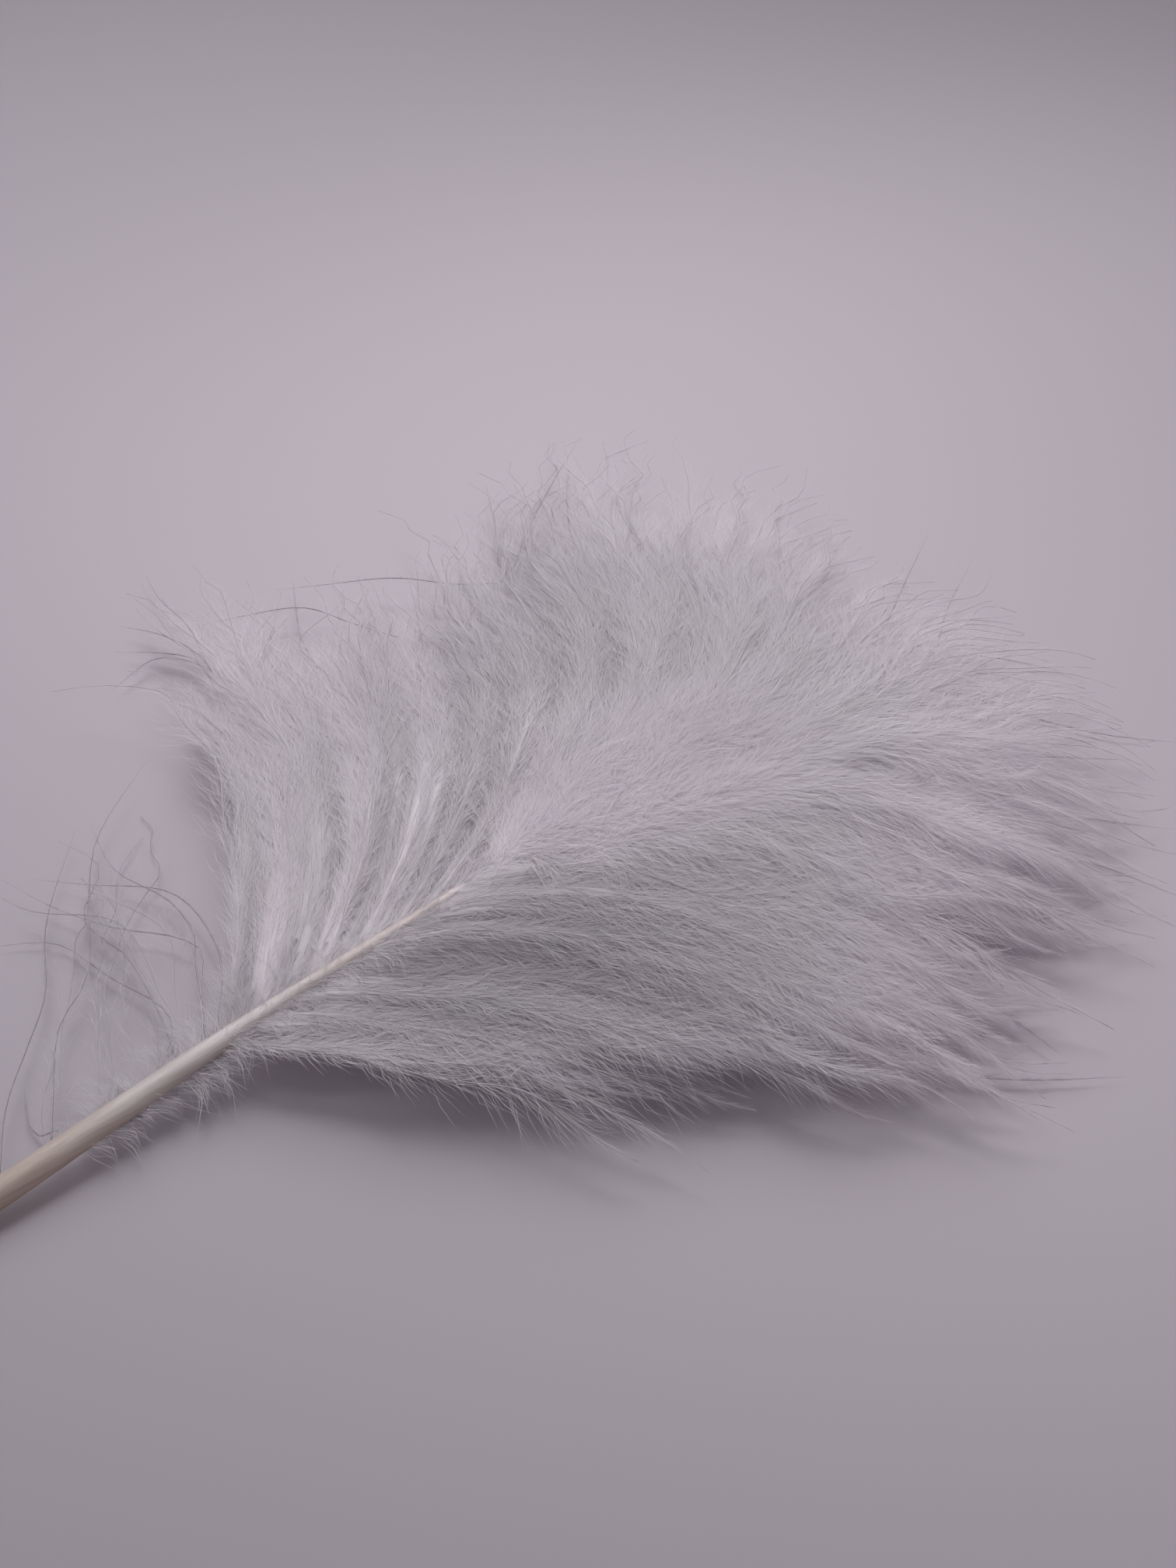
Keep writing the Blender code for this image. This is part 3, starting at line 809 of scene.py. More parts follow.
def barbules(paths, reach, index, share, tones, random, scale=1.0):
    """Blades of the barbules as points (n, 4, 3) and the UV places of those points (n, 4, 2).

    A barbule leaves its barb at the leaving angle, bends towards it at BARBULE_BEND of its
    length and runs on at a smaller angle. Along the barb it follows the barb's own curve, so a
    point of it is the barb's point that far along plus the offset from it, turned round the
    barb by a scattered roll and flattened where the barb lies on the inner down. Its blade is a
    kite: a point at each end and its width at the bend.
    """
    count = len(index)
    start = share / reach[index]
    lengths = np.linalg.norm(np.diff(paths, axis=1), axis=2).sum(axis=1)[index]
    openness = random.uniform(*OPENNESS, len(paths))[index]
    silk = random.uniform(0, 1, count) < np.interp(share, BARB_STATIONS, SILK_SHARES)
    size = BARBULE_LENGTH * np.interp(share, BARB_STATIONS, BARBULE_LENGTHS)
    size *= random.uniform(*LENGTH_RANGE, count) * between((CLOSED_LENGTH, 1.0), openness)
    size *= scale * np.clip(TIP_LENGTHS[0] + TIP_LENGTHS[1] * (1 - start), 0, 1)
    leaving = np.interp(share, BARB_STATIONS, LEAVING_ANGLES) * openness
    leaving = leaving * random.uniform(*LEAVING_RANGE, count) * np.where(silk, SILK_ANGLE, 1.0)
    leaving = np.radians(np.minimum(leaving, WIDEST_ANGLE))
    ending = leaving * ENDING_SHARE * random.uniform(*ENDING_RANGE, count)
    side = np.where(random.uniform(0, 1, count) < 0.5, -1.0, 1.0)
    roll = np.radians(random.normal(0, ROLL_SCATTER, count))
    stand = np.interp(share, BARB_STATIONS, STANDING)

    first, second = size * BARBULE_BEND, size * (1 - BARBULE_BEND)
    steps = np.cumsum([np.zeros(count), first * np.cos(leaving), second * np.cos(ending)], axis=0)
    offsets = np.cumsum([np.zeros(count), first * np.sin(leaving), second * np.sin(ending)], axis=0)

    ahead = at_share(paths, index, start + AHEAD_STEP) - at_share(paths, index, start - AHEAD_STEP)
    ahead = unit(ahead)
    across = unit(np.cross(UP, ahead))
    above = np.cross(ahead, across)
    aside = (side * np.cos(roll) * offsets)[..., None] * across
    rise = np.clip(stand * np.sin(roll) * offsets, -HIGHEST_RISE, HIGHEST_RISE)[..., None] * above
    line = [
        at_share(paths, index, np.minimum(start + step / lengths, FURTHEST)) + offset
        for step, offset in zip(steps, aside + rise)
    ]
    line = above_surface(np.stack(line, axis=1))

    tilt = np.radians(random.normal(0, BLADE_ROLL, count))[:, None]
    facing = np.cos(tilt) * UP + np.sin(tilt) * across
    width = between(BARBULE_WIDTHS, share[:, None])
    half = width / 2 * unit(np.cross(line[:, 2] - line[:, 0], facing))
    points = np.stack([line[:, 0], line[:, 1] + half, line[:, 2], line[:, 1] - half], axis=1)
    tone = tone_at(tones[index], share) + random.normal(0, TONE_SCATTER, count)
    u = np.clip(tone, *TONE_RANGE)[:, None] + BARBULE_PATCH[0]
    v = (FIRST_ALONG + ALONG_RANGES[0] * share)[:, None] + BARBULE_PATCH[1]
    return points, np.stack([u, v], axis=2)


def at_corners(values, shape, steps):
    """Values of each ring at the corners of the quads between rings and of the two end faces.

    The steps are added to the four corners of a quad and to the three of an end face.
    """
    low, high = values[:, :-1, None], values[:, 1:, None]
    walls = np.broadcast_to(np.stack([low, low, high, high], axis=-1) + steps[0], shape)
    ends = values[:, [0, -1]].T.reshape(-1, 1) + steps[1]
    return np.concatenate([walls.ravel(), ends.ravel()])


def tubes(paths, thickness, tones, reach, stout=1.0):
    """Tapered tubes of three sides round the paths, closed at both ends.

    The radius grows from the first thickness's half to the second's by a power of the share of
    the length, is stout times that at the tip, and tapers there. Returns the points, the
    corners of the faces in a row, each face's number of corners and each corner's UV place.
    """
    count, rings = paths.shape[:2]
    ahead = unit(np.gradient(paths, axis=1))
    across = unit(np.cross(UP, ahead))
    above = np.cross(ahead, across)
    angle = (2 * np.pi * np.arange(3) / 3 + np.pi / 2)[:, None]
    share = np.linspace(0, 1, rings)
    radius = between(thickness, share**THICKENING) / 2
    radius = radius * np.clip((1 - share) / TAPER[0], TAPER[1], 1)
    radius = radius * (1 + (np.broadcast_to(stout, count)[:, None] - 1) * share)
    outwards = np.cos(angle) * across[:, :, None] + np.sin(angle) * above[:, :, None]
    points = paths[:, :, None] + radius[:, :, None, None] * outwards
    points[..., 2] = np.maximum(points[..., 2], LOWEST / 2)
    number = np.arange(count * rings * 3).reshape(count, rings, 3)
    after = np.roll(number, -1, axis=2)
    quads = np.stack([number[:, :-1], after[:, :-1], after[:, 1:], number[:, 1:]], axis=-1)
    ends = np.concatenate([number[:, 0, ::-1], number[:, -1]])
    lock_share = share * reach[:, None]
    tone = np.clip(tone_at(tones[:, None, :], lock_share), *BARB_TONE_RANGE)
    along = FIRST_ALONG + ALONG_RANGES[1] * lock_share
    u = at_corners(tone, quads.shape, TONE_PATCHES)
    v = at_corners(along, quads.shape, ALONG_PATCHES)
    corners = np.concatenate([quads.ravel(), ends.ravel()])
    sizes = np.concatenate([np.full(quads.size // 4, 4), np.full(len(ends), 3)])
    return points.reshape(-1, 3), corners, sizes, np.column_stack([u, v])


def mesh_piece(name, points, corners, sizes, places, material):
    """A piece from points, its faces' corners in a row, their sizes and the corners' UV places."""
    mesh = bpy.data.meshes.new(name)
    mesh.vertices.add(len(points))
    mesh.vertices.foreach_set("co", in_metres(points).astype(np.float32).ravel())
    mesh.loops.add(len(corners))
    mesh.loops.foreach_set("vertex_index", corners.astype(np.int32))
    mesh.polygons.add(len(sizes))
    starts = np.cumsum(sizes) - sizes
    mesh.polygons.foreach_set("loop_start", starts.astype(np.int32))
    layer = mesh.uv_layers.new(name="OFBake")
    layer.uv.foreach_set("vector", places.astype(np.float32).ravel())
    mesh.polygons.foreach_set("use_smooth", np.ones(len(sizes), bool))
    mesh.update(calc_edges=True)
    mesh.materials.append(material)
    piece = bpy.data.objects.new(name, mesh)
    bpy.context.scene.collection.objects.link(piece)
    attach(piece, "root")
    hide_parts("feather")
    return piece


def point_values(piece, name, values):
    """The values, one for each point, as the piece's attribute of that name."""
    layer = piece.data.attributes.new(name, "FLOAT", "POINT")
    layer.data.foreach_set("value", values.astype(np.float32))


def barbule_piece(name, points, places, material):
    """A piece of barbules, each one a kite of four points."""
    corners = np.arange(len(points) * 4)
    sizes = np.full(len(points), 4)
    mesh_piece(name, points.reshape(-1, 3), corners, sizes, places.reshape(-1, 2), material)


def sheet_grid(fan, coarseness=1):
    """The inner down's grid: places round the plume, shares of its own and of the locks' length."""
    place = np.linspace(SHEET_ENDS, len(fan) - 1 - SHEET_ENDS, SHEET_COLUMNS // coarseness)[:, None]
    share = np.linspace(0, 1, SHEET_RINGS // coarseness)
    return place, share, share * smooth(place, SHEET_PLACES, SHEET_REACH)


def sheet_quads(columns, rings):
    """The corners of the quads of the sheet's upper and lower side, and of those of its rim."""
    number = np.arange(columns * rings).reshape(columns, rings)
    here, after = number[:-1], number[1:]
    upper = np.stack([here[:, :-1], here[:, 1:], after[:, 1:], after[:, :-1]], axis=-1).reshape(-1, 4)
    lower = upper[:, [0, 3, 2, 1]] + number.size
    rim = np.concatenate([number[:, 0], number[-1, 1:], number[-2::-1, -1], number[0, -2:0:-1]])
    after = np.roll(rim, -1)
    rim = np.stack([rim, after, after + number.size, rim + number.size], axis=-1)
    return np.concatenate([upper, lower]), rim


def sheet_places(columns, share, sides, rim):
    """UV places of the sheet's corners: its two sides next to each other, its rim in a strip."""
    across, along = np.meshgrid(
        np.linspace(*SIDE_ACROSS, columns), SIDE_ALONG[0] + SIDE_ALONG[1] * share, indexing="ij"
    )
    upper = np.stack([across, along], axis=-1).reshape(-1, 2)
    places = np.concatenate([upper, upper + (LOWER_SIDE, 0.0)])[sides]
    strip = np.linspace(*STRIP_ACROSS, len(rim) + 1)
    strip = np.stack([strip[:-1], strip[1:], strip[1:], strip[:-1]], axis=-1)
    strip = np.stack([strip, np.broadcast_to(STRIP_ALONG, strip.shape)], axis=-1)
    return np.concatenate([places, strip]).reshape(-1, 2)


def sheet_tones(fan, place, part):
    """The sheet's tones, painted light and shade: the inner ones, which fade to the outer ones,
    and what is on them.

    The ropes' painted highlights, with painted shade between them, the flames' painted
    highlights and the core's painted highlight along the plume's top add to them. The core fades
    outwards by a bell curve and ends towards the tip.
    """
    tone = smooth(place, SHEET_PLACES, INNER_LIGHT_AND_SHADE)
    tone = tone + (smooth(place, SHEET_PLACES, OUTER_LIGHT_AND_SHADE) - tone) * passed(part, SHEET_TONES_OVER)
    tone = tone + ROPE_LIGHT_AND_SHADE * ropes(place, part) * rope_strength(place, part)
    tone = tone + FLAME_HIGHLIGHT * flames(place, part)
    roots = np.interp(place, np.arange(len(fan)), fan[:, 0, 0])
    core = over_shaft(roots) * np.interp(roots, CORE_END, (1.0, 0.0))
    return tone + CORE_HIGHLIGHT * core * np.exp(-((part / CORE_REACH) ** 2))


def add_sheet(fan, material):
    """The dense inner down: a closed soft sheet on a grid of places round the plume and shares.

    Its upper side is sheet_top(), rounded off at the rim; its lower side is that less a
    thickness which swells from the roots and runs out towards the rim and both ends. The rim's
    reach waves in and out.
    """
    place, share, part = sheet_grid(fan)
    part = part * (1 + waves(place, RIM_WAVES))
    place = np.broadcast_to(place, part.shape)
    end = np.minimum(place - SHEET_ENDS, len(fan) - 1 - SHEET_ENDS - place)
    rounding = np.sqrt(1 - RIM_ROUNDING * share**3)
    swell = np.sqrt(np.clip(share / SHEET_ROOT[0], SHEET_ROOT[1], 1)) * rounding
    thick = SHEET_THICKNESS * swell * np.sqrt(np.clip(end / END_ROUNDING[0], END_ROUNDING[1], 1))
    top = sheet_top(fan, place, part) - RIM_DROP * (1 - rounding)[:, None] * UP
    below = above_surface(top - thick[..., None] * UP)
    top[..., 2] = np.maximum(top[..., 2], below[..., 2] + THINNEST)
    points = np.concatenate([top.reshape(-1, 3), below.reshape(-1, 3)])
    sides, rim = sheet_quads(*part.shape)
    quads = np.concatenate([sides, rim])
    places = sheet_places(len(part), share, sides, rim)
    piece = mesh_piece("inner_down", points, quads.ravel(), np.full(len(quads), 4), places, material)
    # The tone carries the sheet's painted light and shade.
    point_values(piece, "tone", np.tile(sheet_tones(fan, place, part).ravel(), 2))


def toward_shaded_tips(places, tip_shade):
    """UV places moved on by a share of the way to the tips' darker colours, painted shade.

    The step grows from nothing over TIP_SHADE_OVER and shrinks again towards the very end.
    """
    along = places[..., 1]
    step = tip_shade * passed(along, TIP_SHADE_OVER) * (1 - along)
    return np.stack([places[..., 0], along + step], axis=-1)


def add_down(name, paths, reach, starts, tones, material, random, stout=1.0, tip_shade=0.0):
    """Barbs and their barbules, the barbules in pieces with few enough faces.

    The last argument says how far each barb, with its barbules, takes the tips' darker
    colours, which are painted shade.
    """
    tip_shade = np.broadcast_to(tip_shade, len(paths))
    points, corners, sizes, places = tubes(paths, BARB_THICKNESS, tones, reach, stout)
    barb = corners // (len(points) // len(paths))
    mesh_piece(f"barbs_{name}", points, corners, sizes, toward_shaded_tips(places, tip_shade[barb]), material)
    index, share = starts
    points, places = barbules(paths, reach, index, share, tones, random)
    places = toward_shaded_tips(places, BARBULE_TIP_SHADING * tip_shade[index][:, None])
    parts = int(np.ceil(len(index) / MOST_QUADS))
    for part, rows in enumerate(np.array_split(np.arange(len(index)), parts)):
        piece = f"down_{name}" if parts == 1 else f"down_{name}_{part + 1}"
        barbule_piece(piece, points[rows], places[rows], material)


def add_plumage(material, sheet_material):
    """The inner down, the barbs and barbules of each group of locks, the tufts and the strays."""
    random = np.random.RandomState(BARB_SEED)
    drawn = locks()
    fan = fan_handles(drawn)
    add_sheet(fan, sheet_material)
    for group, (per_lock, stray, cover) in BARBS.items():
        paths, reach, around, loose = barb_paths(group, drawn, fan, per_lock, stray, random)
        paths = above_surface(paths)
        # Barbs take painted light and shade by place, and painted shade darkens their tips.
        tones, tip_shade = barb_tones(around), np.interp(around, SHEET_PLACES, TIP_SHADING)
        if group == "base":
            tones, tip_shade = np.full((len(paths), 2), BASE_TONE), 0.0
        tones = tones + random.normal(0, BARB_TONE_SCATTER, (len(paths), 1))
        ends = drawn[group][0][:, (0, 3)]
        gaps = np.linalg.norm(np.diff(ends, axis=0), axis=2).mean(axis=0) / per_lock
        index, share = barbule_starts(paths, reach, gaps, cover, random)
        kept = random.uniform(0, 1, len(index)) >= thinned(around[index], share)
        stout = np.where(loose, LOOSE_THICKNESS, 1.0)
        add_down(group, paths, reach, (index[kept], share[kept]), tones, material, random, stout, tip_shade)
    place, _, part = sheet_grid(fan, 2)
    top = sheet_top(fan, np.broadcast_to(place, part.shape), part).reshape(-1, 3)
    for name in TUFTS:
        add_tuft(name, top, material, random)
    add_strays(material, random)


def add_tuft(name, top, material, random):
    """Short barbs along the shaft, as Bezier curves that fan out and are laid on the inner down.

    Over the hidden shaft their roots lie higher and scatter to the side. Lengths, rises and
    tones run from the first barb to the last one.
    """
    count, roots, lengths, fan, rise, per_barb, tone = TUFTS[name]
    share = np.linspace(0, 1, count)
    root = shaft_points(between(roots, share**TUFT_POWER))
    aside = np.clip(random.normal(0, TUFT_SPREAD, (count, 1)), -TUFT_LIMIT, TUFT_LIMIT)
    root = root + over_shaft(root[:, :1]) * (aside * (0, 1, 0) + TUFT_HEIGHT * UP)
    fan = random.uniform(*fan, count)
    length = (random.uniform(*lengths, count) * between(TUFT_LENGTHS, share))[:, None]
    rise = rise * between(TUFT_RISES, share[:, None])
    leaving_rise = random.uniform(*LEAVING_RISES, (count, 1)) * rise
    arriving_rise = random.uniform(*ARRIVING_RISES, (count, 1)) * rise
    leaving, tip, arriving = (
        length * heading(fan * times + plus) for times, plus in (LEAVING_TURN, TIP_TURN, ARRIVING_TURN)
    )
    leave = root + TUFT_REACH * leaving + UP * leaving_rise
    tip = root + tip - UP * random.uniform(0.0, 1.0, (count, 1))
    arrive = tip - TUFT_REACH * arriving + UP * arriving_rise
    handles = np.stack([root, leave, arrive, tip], axis=1)
    weights = bezier_weights(np.linspace(0, 1, BARB_RINGS))
    paths = above_surface(lay_on_sheet(np.einsum("rk,bkc->brc", weights, handles), top))
    tones = between(tone, share) + random.normal(0, TONE_SCATTER, count)
    tones = np.column_stack([tones, tones])
    starts = plain_starts(paths, per_barb, random)
    add_down(name, paths, np.ones(count), starts, tones, material, random, TUFT_THICKNESS)


def darker(places):
    """UV places moved to the outer, darker part of the colour range: painted shade on strands."""
    return np.stack([places[..., 0], STRAY_PLACES[0] + STRAY_PLACES[1] * places[..., 1]], axis=-1)


def add_strays(material, random):
    """Each stray strand as a smooth curve through its points, with short barbules close along it."""
    paths = []
    for points in STRAYS:
        points = np.array(points)
        steps = np.linalg.norm(np.diff(points, axis=0), axis=1)
        stations = np.concatenate([[0], np.cumsum(steps)])
        paths.append(smooth(np.linspace(0, stations[-1], BARB_RINGS), stations, points))
    paths = above_surface(np.stack(paths))
    tones = STRAY_TONE + random.normal(0, TONE_SCATTER, len(paths))
    tones = np.column_stack([tones, tones])
    reach = np.ones(len(paths))
    points, corners, sizes, places = tubes(paths, STRAY_THICKNESS, tones, reach)
    mesh_piece("strays", points, corners, sizes, darker(places), material)
    fuzzy = (paths[:, 0, 0] > FUZZY_FROM) & (paths[:, 0, 1] < 0)
    index, share = plain_starts(paths, np.where(fuzzy, *STRAY_BARBULES[::-1]), random)
    points, places = barbules(paths, reach, index, share, tones, random, STRAY_BARBULE_SIZE)
    barbule_piece("down_strays", points, darker(places), material)


def shaft_places():
    """UV places of the shaft's corners, U along and V round it: quads, then both ends' fans."""
    u = np.linspace(*SHAFT_RANGE, SHAFT_RINGS)
    v = np.linspace(*SHAFT_RANGE, SHAFT_SIDES + 1)
    low_u, low_v = np.broadcast_arrays(u[:-1, None], v[None, :-1])
    high_u, high_v = np.broadcast_arrays(u[1:, None], v[None, 1:])
    corner_u = np.stack([low_u, low_u, high_u, high_u], axis=-1).ravel()
    corner_v = np.stack([low_v, high_v, high_v, low_v], axis=-1).ravel()
    middle, poles = (v[:-1] + v[1:]) / 2, np.repeat(END_MIDDLES, SHAFT_SIDES)
    rims = np.repeat(END_RIMS, SHAFT_SIDES)
    cap_u = np.column_stack([poles, rims, rims]).ravel()
    first = np.column_stack([middle, v[1:], v[:-1]])
    last = np.column_stack([middle, v[:-1], v[1:]])
    cap_v = np.concatenate([first, last]).ravel()
    return np.column_stack([np.concatenate([corner_u, cap_u]), np.concatenate([corner_v, cap_v])])


def add_shaft(material):
    """The quill and shaft: oval rings along the shaft's middle line, with a fan at each end.

    A ring's points are the middle line's plus the radius times the cosine across and the sine
    upwards, the latter less a groove beneath. Near the quill's end the radius follows a quarter
    circle. The value topside is half of one plus the sine, and a half at both ends.
    """
    x = np.linspace(0.0, SHAFT_STATIONS[-1], SHAFT_RINGS)
    line = shaft_points(x)
    ahead = unit(np.gradient(line, axis=0))
    across = unit(np.cross(UP, ahead))
    above = np.cross(ahead, across)
    radius = smooth(x, SHAFT_STATIONS, SHAFT_THICKNESS) / 2
    inwards = 1 - np.minimum(x / QUILL_ROUNDING, 1.0)
    radius = radius * np.sqrt(np.clip(1 - inwards**2, QUILL_FACE, 1.0))
    angle = 2 * np.pi * np.arange(SHAFT_SIDES) / SHAFT_SIDES
    groove = 1 - GROOVE_DEPTH * np.exp(-(((angle - 1.5 * np.pi) / GROOVE_WIDTH) ** 2))
    points = (
        line[:, None, :]
        + (radius[:, None] * np.cos(angle))[:, :, None] * across[:, None, :]
        + (radius[:, None] * np.sin(angle) * groove)[:, :, None] * above[:, None, :]
    )
    number = np.arange(SHAFT_RINGS * SHAFT_SIDES).reshape(SHAFT_RINGS, SHAFT_SIDES)
    after = np.roll(number, -1, axis=1)
    quads = np.stack([number[:-1], after[:-1], after[1:], number[1:]], axis=-1).reshape(-1, 4)
    poles = np.repeat([[number.size], [number.size + 1]], SHAFT_SIDES, axis=1)
    first = np.stack([poles[0], after[0], number[0]], axis=-1)
    last = np.stack([poles[1], number[-1], after[-1]], axis=-1)
    points = np.concatenate([points.reshape(-1, 3), line[:1], line[-1:]])
    corners = np.concatenate([quads.ravel(), first.ravel(), last.ravel()])
    sizes = np.concatenate([np.full(len(quads), 4), np.full(len(first) + len(last), 3)])
    piece = mesh_piece("shaft", points, corners, sizes, shaft_places(), material)
    # topside sets where the shaft's colour paints light on top and shade beneath.
    topside = np.tile(0.5 + 0.5 * np.sin(angle), SHAFT_RINGS)
    point_values(piece, "topside", np.append(topside, [0.5, 0.5]))


def new_material(name, roughness, gloss):
    """A material, its node tree and its main shader, with a roughness and a gloss."""
    material = bpy.data.materials.new(name)
    material.use_nodes = True
    tree = material.node_tree
    shader = tree.nodes["Principled BSDF"]
    shader.inputs["Roughness"].default_value = roughness
    shader.inputs["Specular IOR Level"].default_value = gloss
    return material, tree, shader


def own_places(tree):
    """The piece's own UV places."""
    places = tree.nodes.new("ShaderNodeUVMap")
    places.uv_map = "OFBake"
    return places.outputs["UV"]


def own_value(tree, name):
    """The piece's own attribute of that name."""
    value = tree.nodes.new("ShaderNodeAttribute")
    value.attribute_name = name
    return value.outputs["Fac"]


def split_places(tree):
    """The two parts of the piece's own UV places."""
    split = tree.nodes.new("ShaderNodeSeparateXYZ")
    tree.links.new(own_places(tree), split.inputs[0])
    return split.outputs["X"], split.outputs["Y"]


def ramp(tree, value, stops):
    """The colour of a value on a ramp with the given stops, as place and colour."""
    node = tree.nodes.new("ShaderNodeValToRGB")
    elements = node.color_ramp.elements
    for element, (place, colour) in zip(elements, (stops[0], stops[-1])):
        element.position = place
        element.color = (*colour, 1)
    for place, colour in stops[1:-1]:
        elements.new(place).color = (*colour, 1)
    tree.links.new(value, node.inputs[0])
    return node.outputs["Color"]


def product(tree, first, second):
    """The product of two colours."""
    mix = tree.nodes.new("ShaderNodeMix")
    mix.data_type = "RGBA"
    mix.blend_type = "MULTIPLY"
    mix.inputs["Factor"].default_value = 1.0
    tree.links.new(first, mix.inputs["A"])
    tree.links.new(second, mix.inputs["B"])
    return mix.outputs["Result"]


def spread_over(tree, value, ends, span=(0.0, 1.0)):
    """A value in a span, spread over the range between two ends."""
    node = tree.nodes.new("ShaderNodeMapRange")
    node.inputs["From Min"].default_value, node.inputs["From Max"].default_value = span
    node.inputs["To Min"].default_value, node.inputs["To Max"].default_value = ends
    tree.links.new(value, node.inputs["Value"])
    return node.outputs["Result"]


def add_bump(tree, shader, height, strength, depth):
    """Relief from a height, so many metres deep, on the shader."""
    bump = tree.nodes.new("ShaderNodeBump")
    bump.inputs["Strength"].default_value = strength
    bump.inputs["Distance"].default_value = depth
    tree.links.new(height, bump.inputs["Height"])
    tree.links.new(bump.outputs["Normal"], shader.inputs["Normal"])


def streaks_group():
    """Fine and broad streaks: noise at a place that is drawn out by a scale for each."""
    group = bpy.data.node_groups.new("long_streaks", "ShaderNodeTree")
    group.interface.new_socket("Place", in_out="INPUT", socket_type="NodeSocketVector")
    for kind in ("Fine", "Broad"):
        group.interface.new_socket(f"{kind} Scale", in_out="INPUT", socket_type="NodeSocketVector")
        group.interface.new_socket(f"{kind} Detail", in_out="INPUT", socket_type="NodeSocketFloat")
        group.interface.new_socket(kind, in_out="OUTPUT", socket_type="NodeSocketFloat")
    given = group.nodes.new("NodeGroupInput")
    result = group.nodes.new("NodeGroupOutput")
    for kind in ("Fine", "Broad"):
        stretch = group.nodes.new("ShaderNodeMapping")
        noise = group.nodes.new("ShaderNodeTexNoise")
        noise.inputs["Scale"].default_value = 1.0
        group.links.new(given.outputs["Place"], stretch.inputs["Vector"])
        group.links.new(given.outputs[f"{kind} Scale"], stretch.inputs["Scale"])
        group.links.new(given.outputs[f"{kind} Detail"], noise.inputs["Detail"])
        group.links.new(stretch.outputs["Vector"], noise.inputs["Vector"])
        group.links.new(noise.outputs["Fac"], result.inputs[kind])
    return group


def streaks(tree, group, place, fine, broad):
    """The group's fine and broad streaks at a place, each with its own scale and detail."""
    node = tree.nodes.new("ShaderNodeGroup")
    node.node_tree = group
    tree.links.new(place, node.inputs["Place"])
    for kind, (scale, detail) in (("Fine", fine), ("Broad", broad)):
        node.inputs[f"{kind} Scale"].default_value = scale
        node.inputs[f"{kind} Detail"].default_value = detail
    return node.outputs["Fine"], node.outputs["Broad"]


def down_material():
    """White down: the tone's colour, with painted light and shade, times the colour along the lock."""
    material, tree, shader = new_material("white_down", 0.75, 0.2)
    tone, along = split_places(tree)
    by_tone = ((0.0, (0.58, 0.545, 0.58)), (0.62, (0.83, 0.805, 0.83)), (1.0, (0.99, 0.945, 0.985)))
    # Along the lock the colour darkens towards the tips, painted shade.
    by_place = (
        (0.0, (1.0, 0.975, 0.985)),
        (0.25, (1.0, 1.0, 1.0)),
        (0.60, (0.97, 0.95, 0.97)),
        (0.76, (0.84, 0.815, 0.84)),
        (0.88, (0.73, 0.69, 0.735)),
        (1.0, (0.60, 0.56, 0.605)),
    )
    colour = product(tree, ramp(tree, tone, by_tone), ramp(tree, along, by_place))
    tree.links.new(colour, shader.inputs["Base Color"])
    return material


def inner_down_material(group):
    """Soft inner down: its tone's colour, painted light and shade, times fine and broad streaks."""
    material, tree, shader = new_material("inner_down", 0.8, 0.2)
    by_tone = ((0.0, (0.56, 0.52, 0.56)), (0.62, (0.823, 0.792, 0.823)), (1.0, (0.99, 0.935, 0.985)))
    base = ramp(tree, own_value(tree, "tone"), by_tone)
    fine, broad = streaks(
        tree, group, own_places(tree), ((900.0, 9.0, 1.0), 2.0), ((170.0, 4.0, 1.0), 1.0)
    )
    both = tree.nodes.new("ShaderNodeMath")
    both.operation = "MULTIPLY_ADD"
    both.inputs[1].default_value = 0.6
    tree.links.new(fine, both.inputs[0])
    tree.links.new(broad, both.inputs[2])
    shade = spread_over(tree, both.outputs[0], (0.88, 1.06), (0.5, 1.1))
    tree.links.new(product(tree, base, shade), shader.inputs["Base Color"])
    add_bump(tree, shader, both.outputs[0], 0.5, 0.0002)
    return material


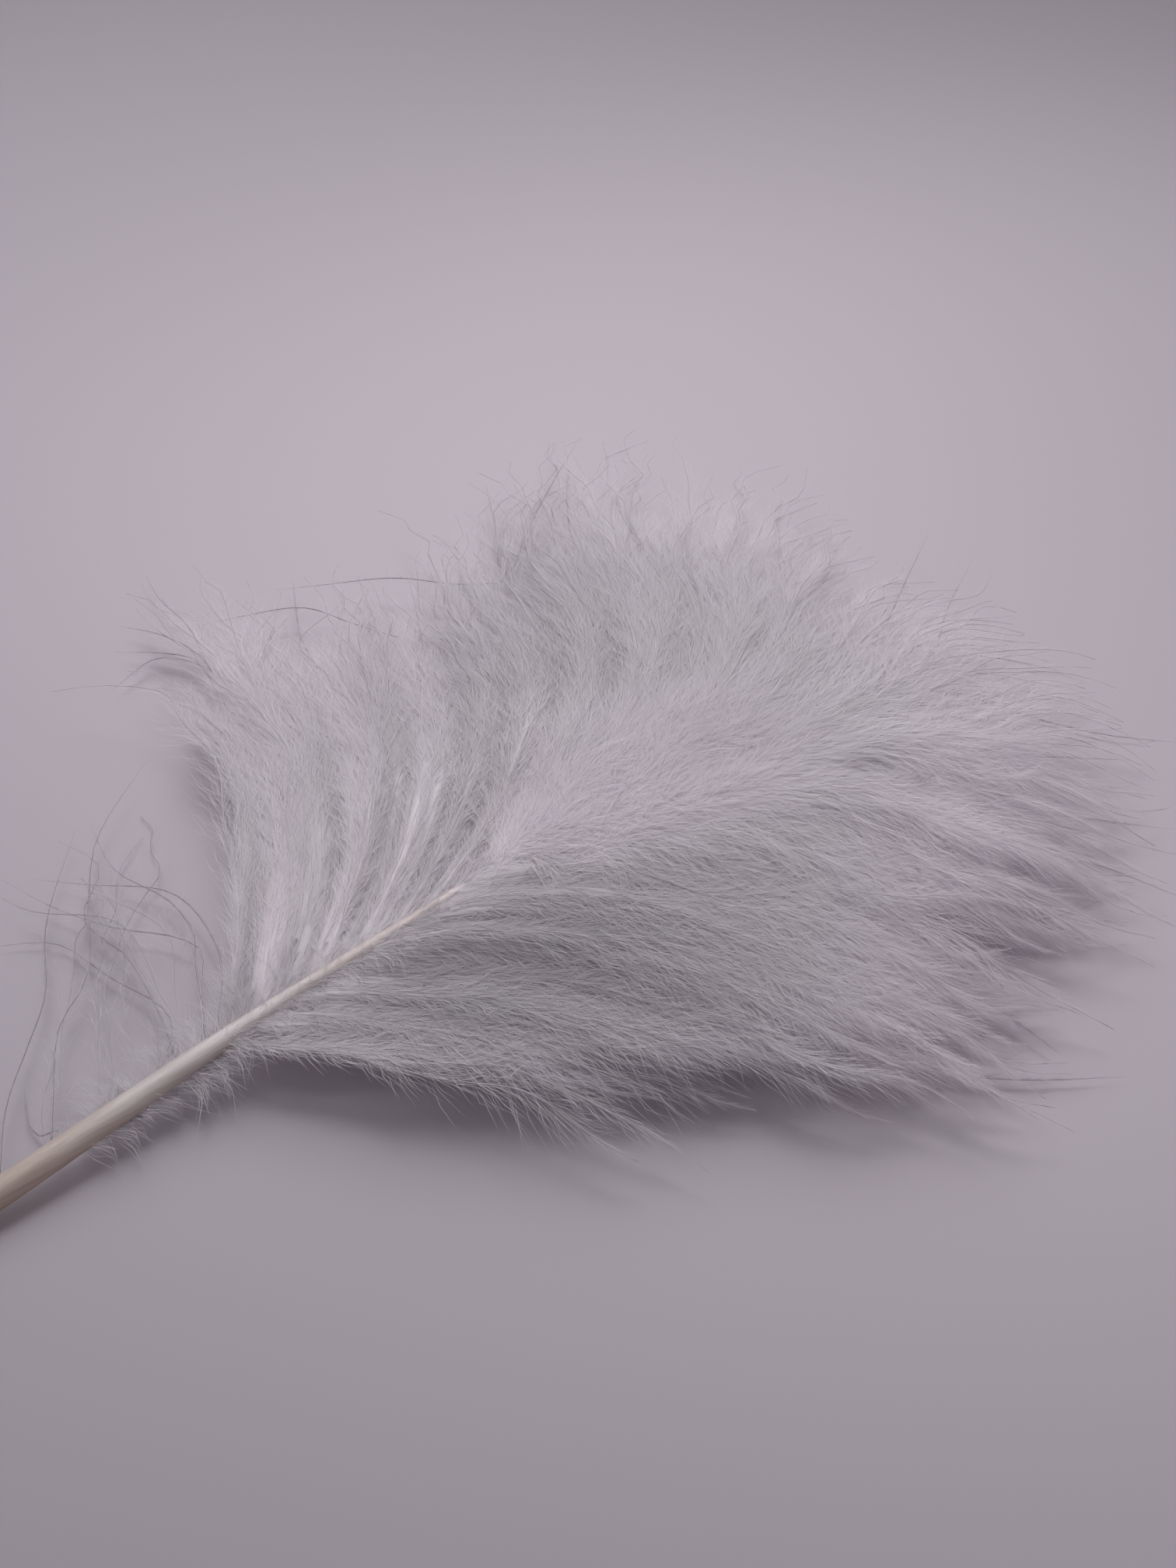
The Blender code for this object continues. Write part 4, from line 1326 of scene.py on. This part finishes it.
def shaft_material(group):
    """Horn: ivory brown at the quill to white at the tip, with long streaks; round it, painted shade
    beneath, partly its own browner colour, and a painted highlight on top.

    Its colour is the product of those along the shaft, round it, of the fine streaks and of the
    broad stains, which also make it rougher.
    """
    material, tree, shader = new_material("ivory_shaft", 0.5, 0.4)
    by_place = (
        (0.0, (0.62, 0.54, 0.48)),
        (0.30, (0.76, 0.69, 0.66)),
        (0.50, (0.86, 0.82, 0.82)),
        (0.65, (0.94, 0.90, 0.92)),
        (1.0, (0.96, 0.92, 0.95)),
    )
    # Round the shaft: a painted highlight on top, lighter than white, down to painted shade beneath,
    # partly the horn's own browner colour.
    painted_light_round = (
        (0.0, (0.56, 0.47, 0.42)),
        (0.40, (0.72, 0.64, 0.60)),
        (0.78, (0.86, 0.81, 0.80)),
        (0.93, (0.98, 0.95, 0.96)),
        (1.0, (1.12, 1.11, 1.12)),
    )
    colour = product(
        tree, ramp(tree, split_places(tree)[0], by_place), ramp(tree, own_value(tree, "topside"), painted_light_round)
    )
    own = tree.nodes.new("ShaderNodeTexCoord").outputs["Object"]
    fine, broad = streaks(
        tree, group, own, ((260.0, 5200.0, 5200.0), 3.0), ((120.0, 420.0, 420.0), 2.0)
    )
    streaked = ramp(tree, fine, ((0.30, (0.86, 0.83, 0.80)), (0.70, (1.04, 1.03, 1.02))))
    stained = ramp(tree, broad, ((0.35, (0.88, 0.82, 0.76)), (0.60, (1.0, 1.0, 1.0))))
    colour = product(tree, product(tree, colour, streaked), stained)
    tree.links.new(colour, shader.inputs["Base Color"])
    tree.links.new(spread_over(tree, broad, (0.36, 0.60)), shader.inputs["Roughness"])
    add_bump(tree, shader, fine, 0.4, 0.00004)
    return material


def add_light(name, power, size, place, target, spread):
    """A round area light at a place, which looks at its target."""
    light = bpy.data.lights.new(name, "AREA")
    light.spread = np.radians(spread)
    light.shape = "DISK"
    light.size = size
    light.energy = power
    light.color = LIGHT_COLOUR
    lamp = bpy.data.objects.new(name, light)
    lamp.location = place
    lamp.rotation_euler = (Vector(target) - Vector(place)).to_track_quat("-Z", "Y").to_euler()
    bpy.context.scene.collection.objects.link(lamp)


def add_stage():
    """A wide plain floor, soft lights and a faint even fill."""
    mesh = bpy.data.meshes.new("floor")
    half = FLOOR_HALF
    corners = [(-half, -half, 0), (half, -half, 0), (half, half, 0), (-half, half, 0)]
    mesh.from_pydata(corners, [], [(0, 1, 2, 3)])
    material, _, shader = new_material("pale_floor", 0.8, 0.2)
    shader.inputs["Base Color"].default_value = FLOOR_COLOUR
    mesh.materials.append(material)
    floor = bpy.data.objects.new("floor", mesh)
    bpy.context.scene.collection.objects.link(floor)
    world = bpy.data.worlds.new("soft_fill")
    world.use_nodes = True
    fill = world.node_tree.nodes["Background"]
    fill.inputs["Color"].default_value = FILL_COLOUR
    fill.inputs["Strength"].default_value = FILL_STRENGTH
    bpy.context.scene.world = world
    for name, settings in LIGHTS.items():
        add_light(name, *settings)


def add_camera():
    """The camera, whose lens is half the sensor over the tangent of half the view."""
    camera = bpy.data.cameras.new("camera")
    camera.lens = SENSOR / 2 / np.tan(np.radians(HALF_VIEW))
    camera.sensor_width = SENSOR
    camera.clip_start = NEAREST
    viewer = bpy.data.objects.new("camera", camera)
    viewer.location = CAMERA_PLACE
    viewer.rotation_euler = np.radians(CAMERA_TURN)
    scene = bpy.context.scene
    scene.collection.objects.link(viewer)
    scene.camera = viewer
    scene.view_settings.view_transform = "Standard"
    scene.cycles.diffuse_bounces = BOUNCES


long_streaks = streaks_group()
add_plumage(down_material(), inner_down_material(long_streaks))
add_shaft(shaft_material(long_streaks))
add_stage()
add_camera()
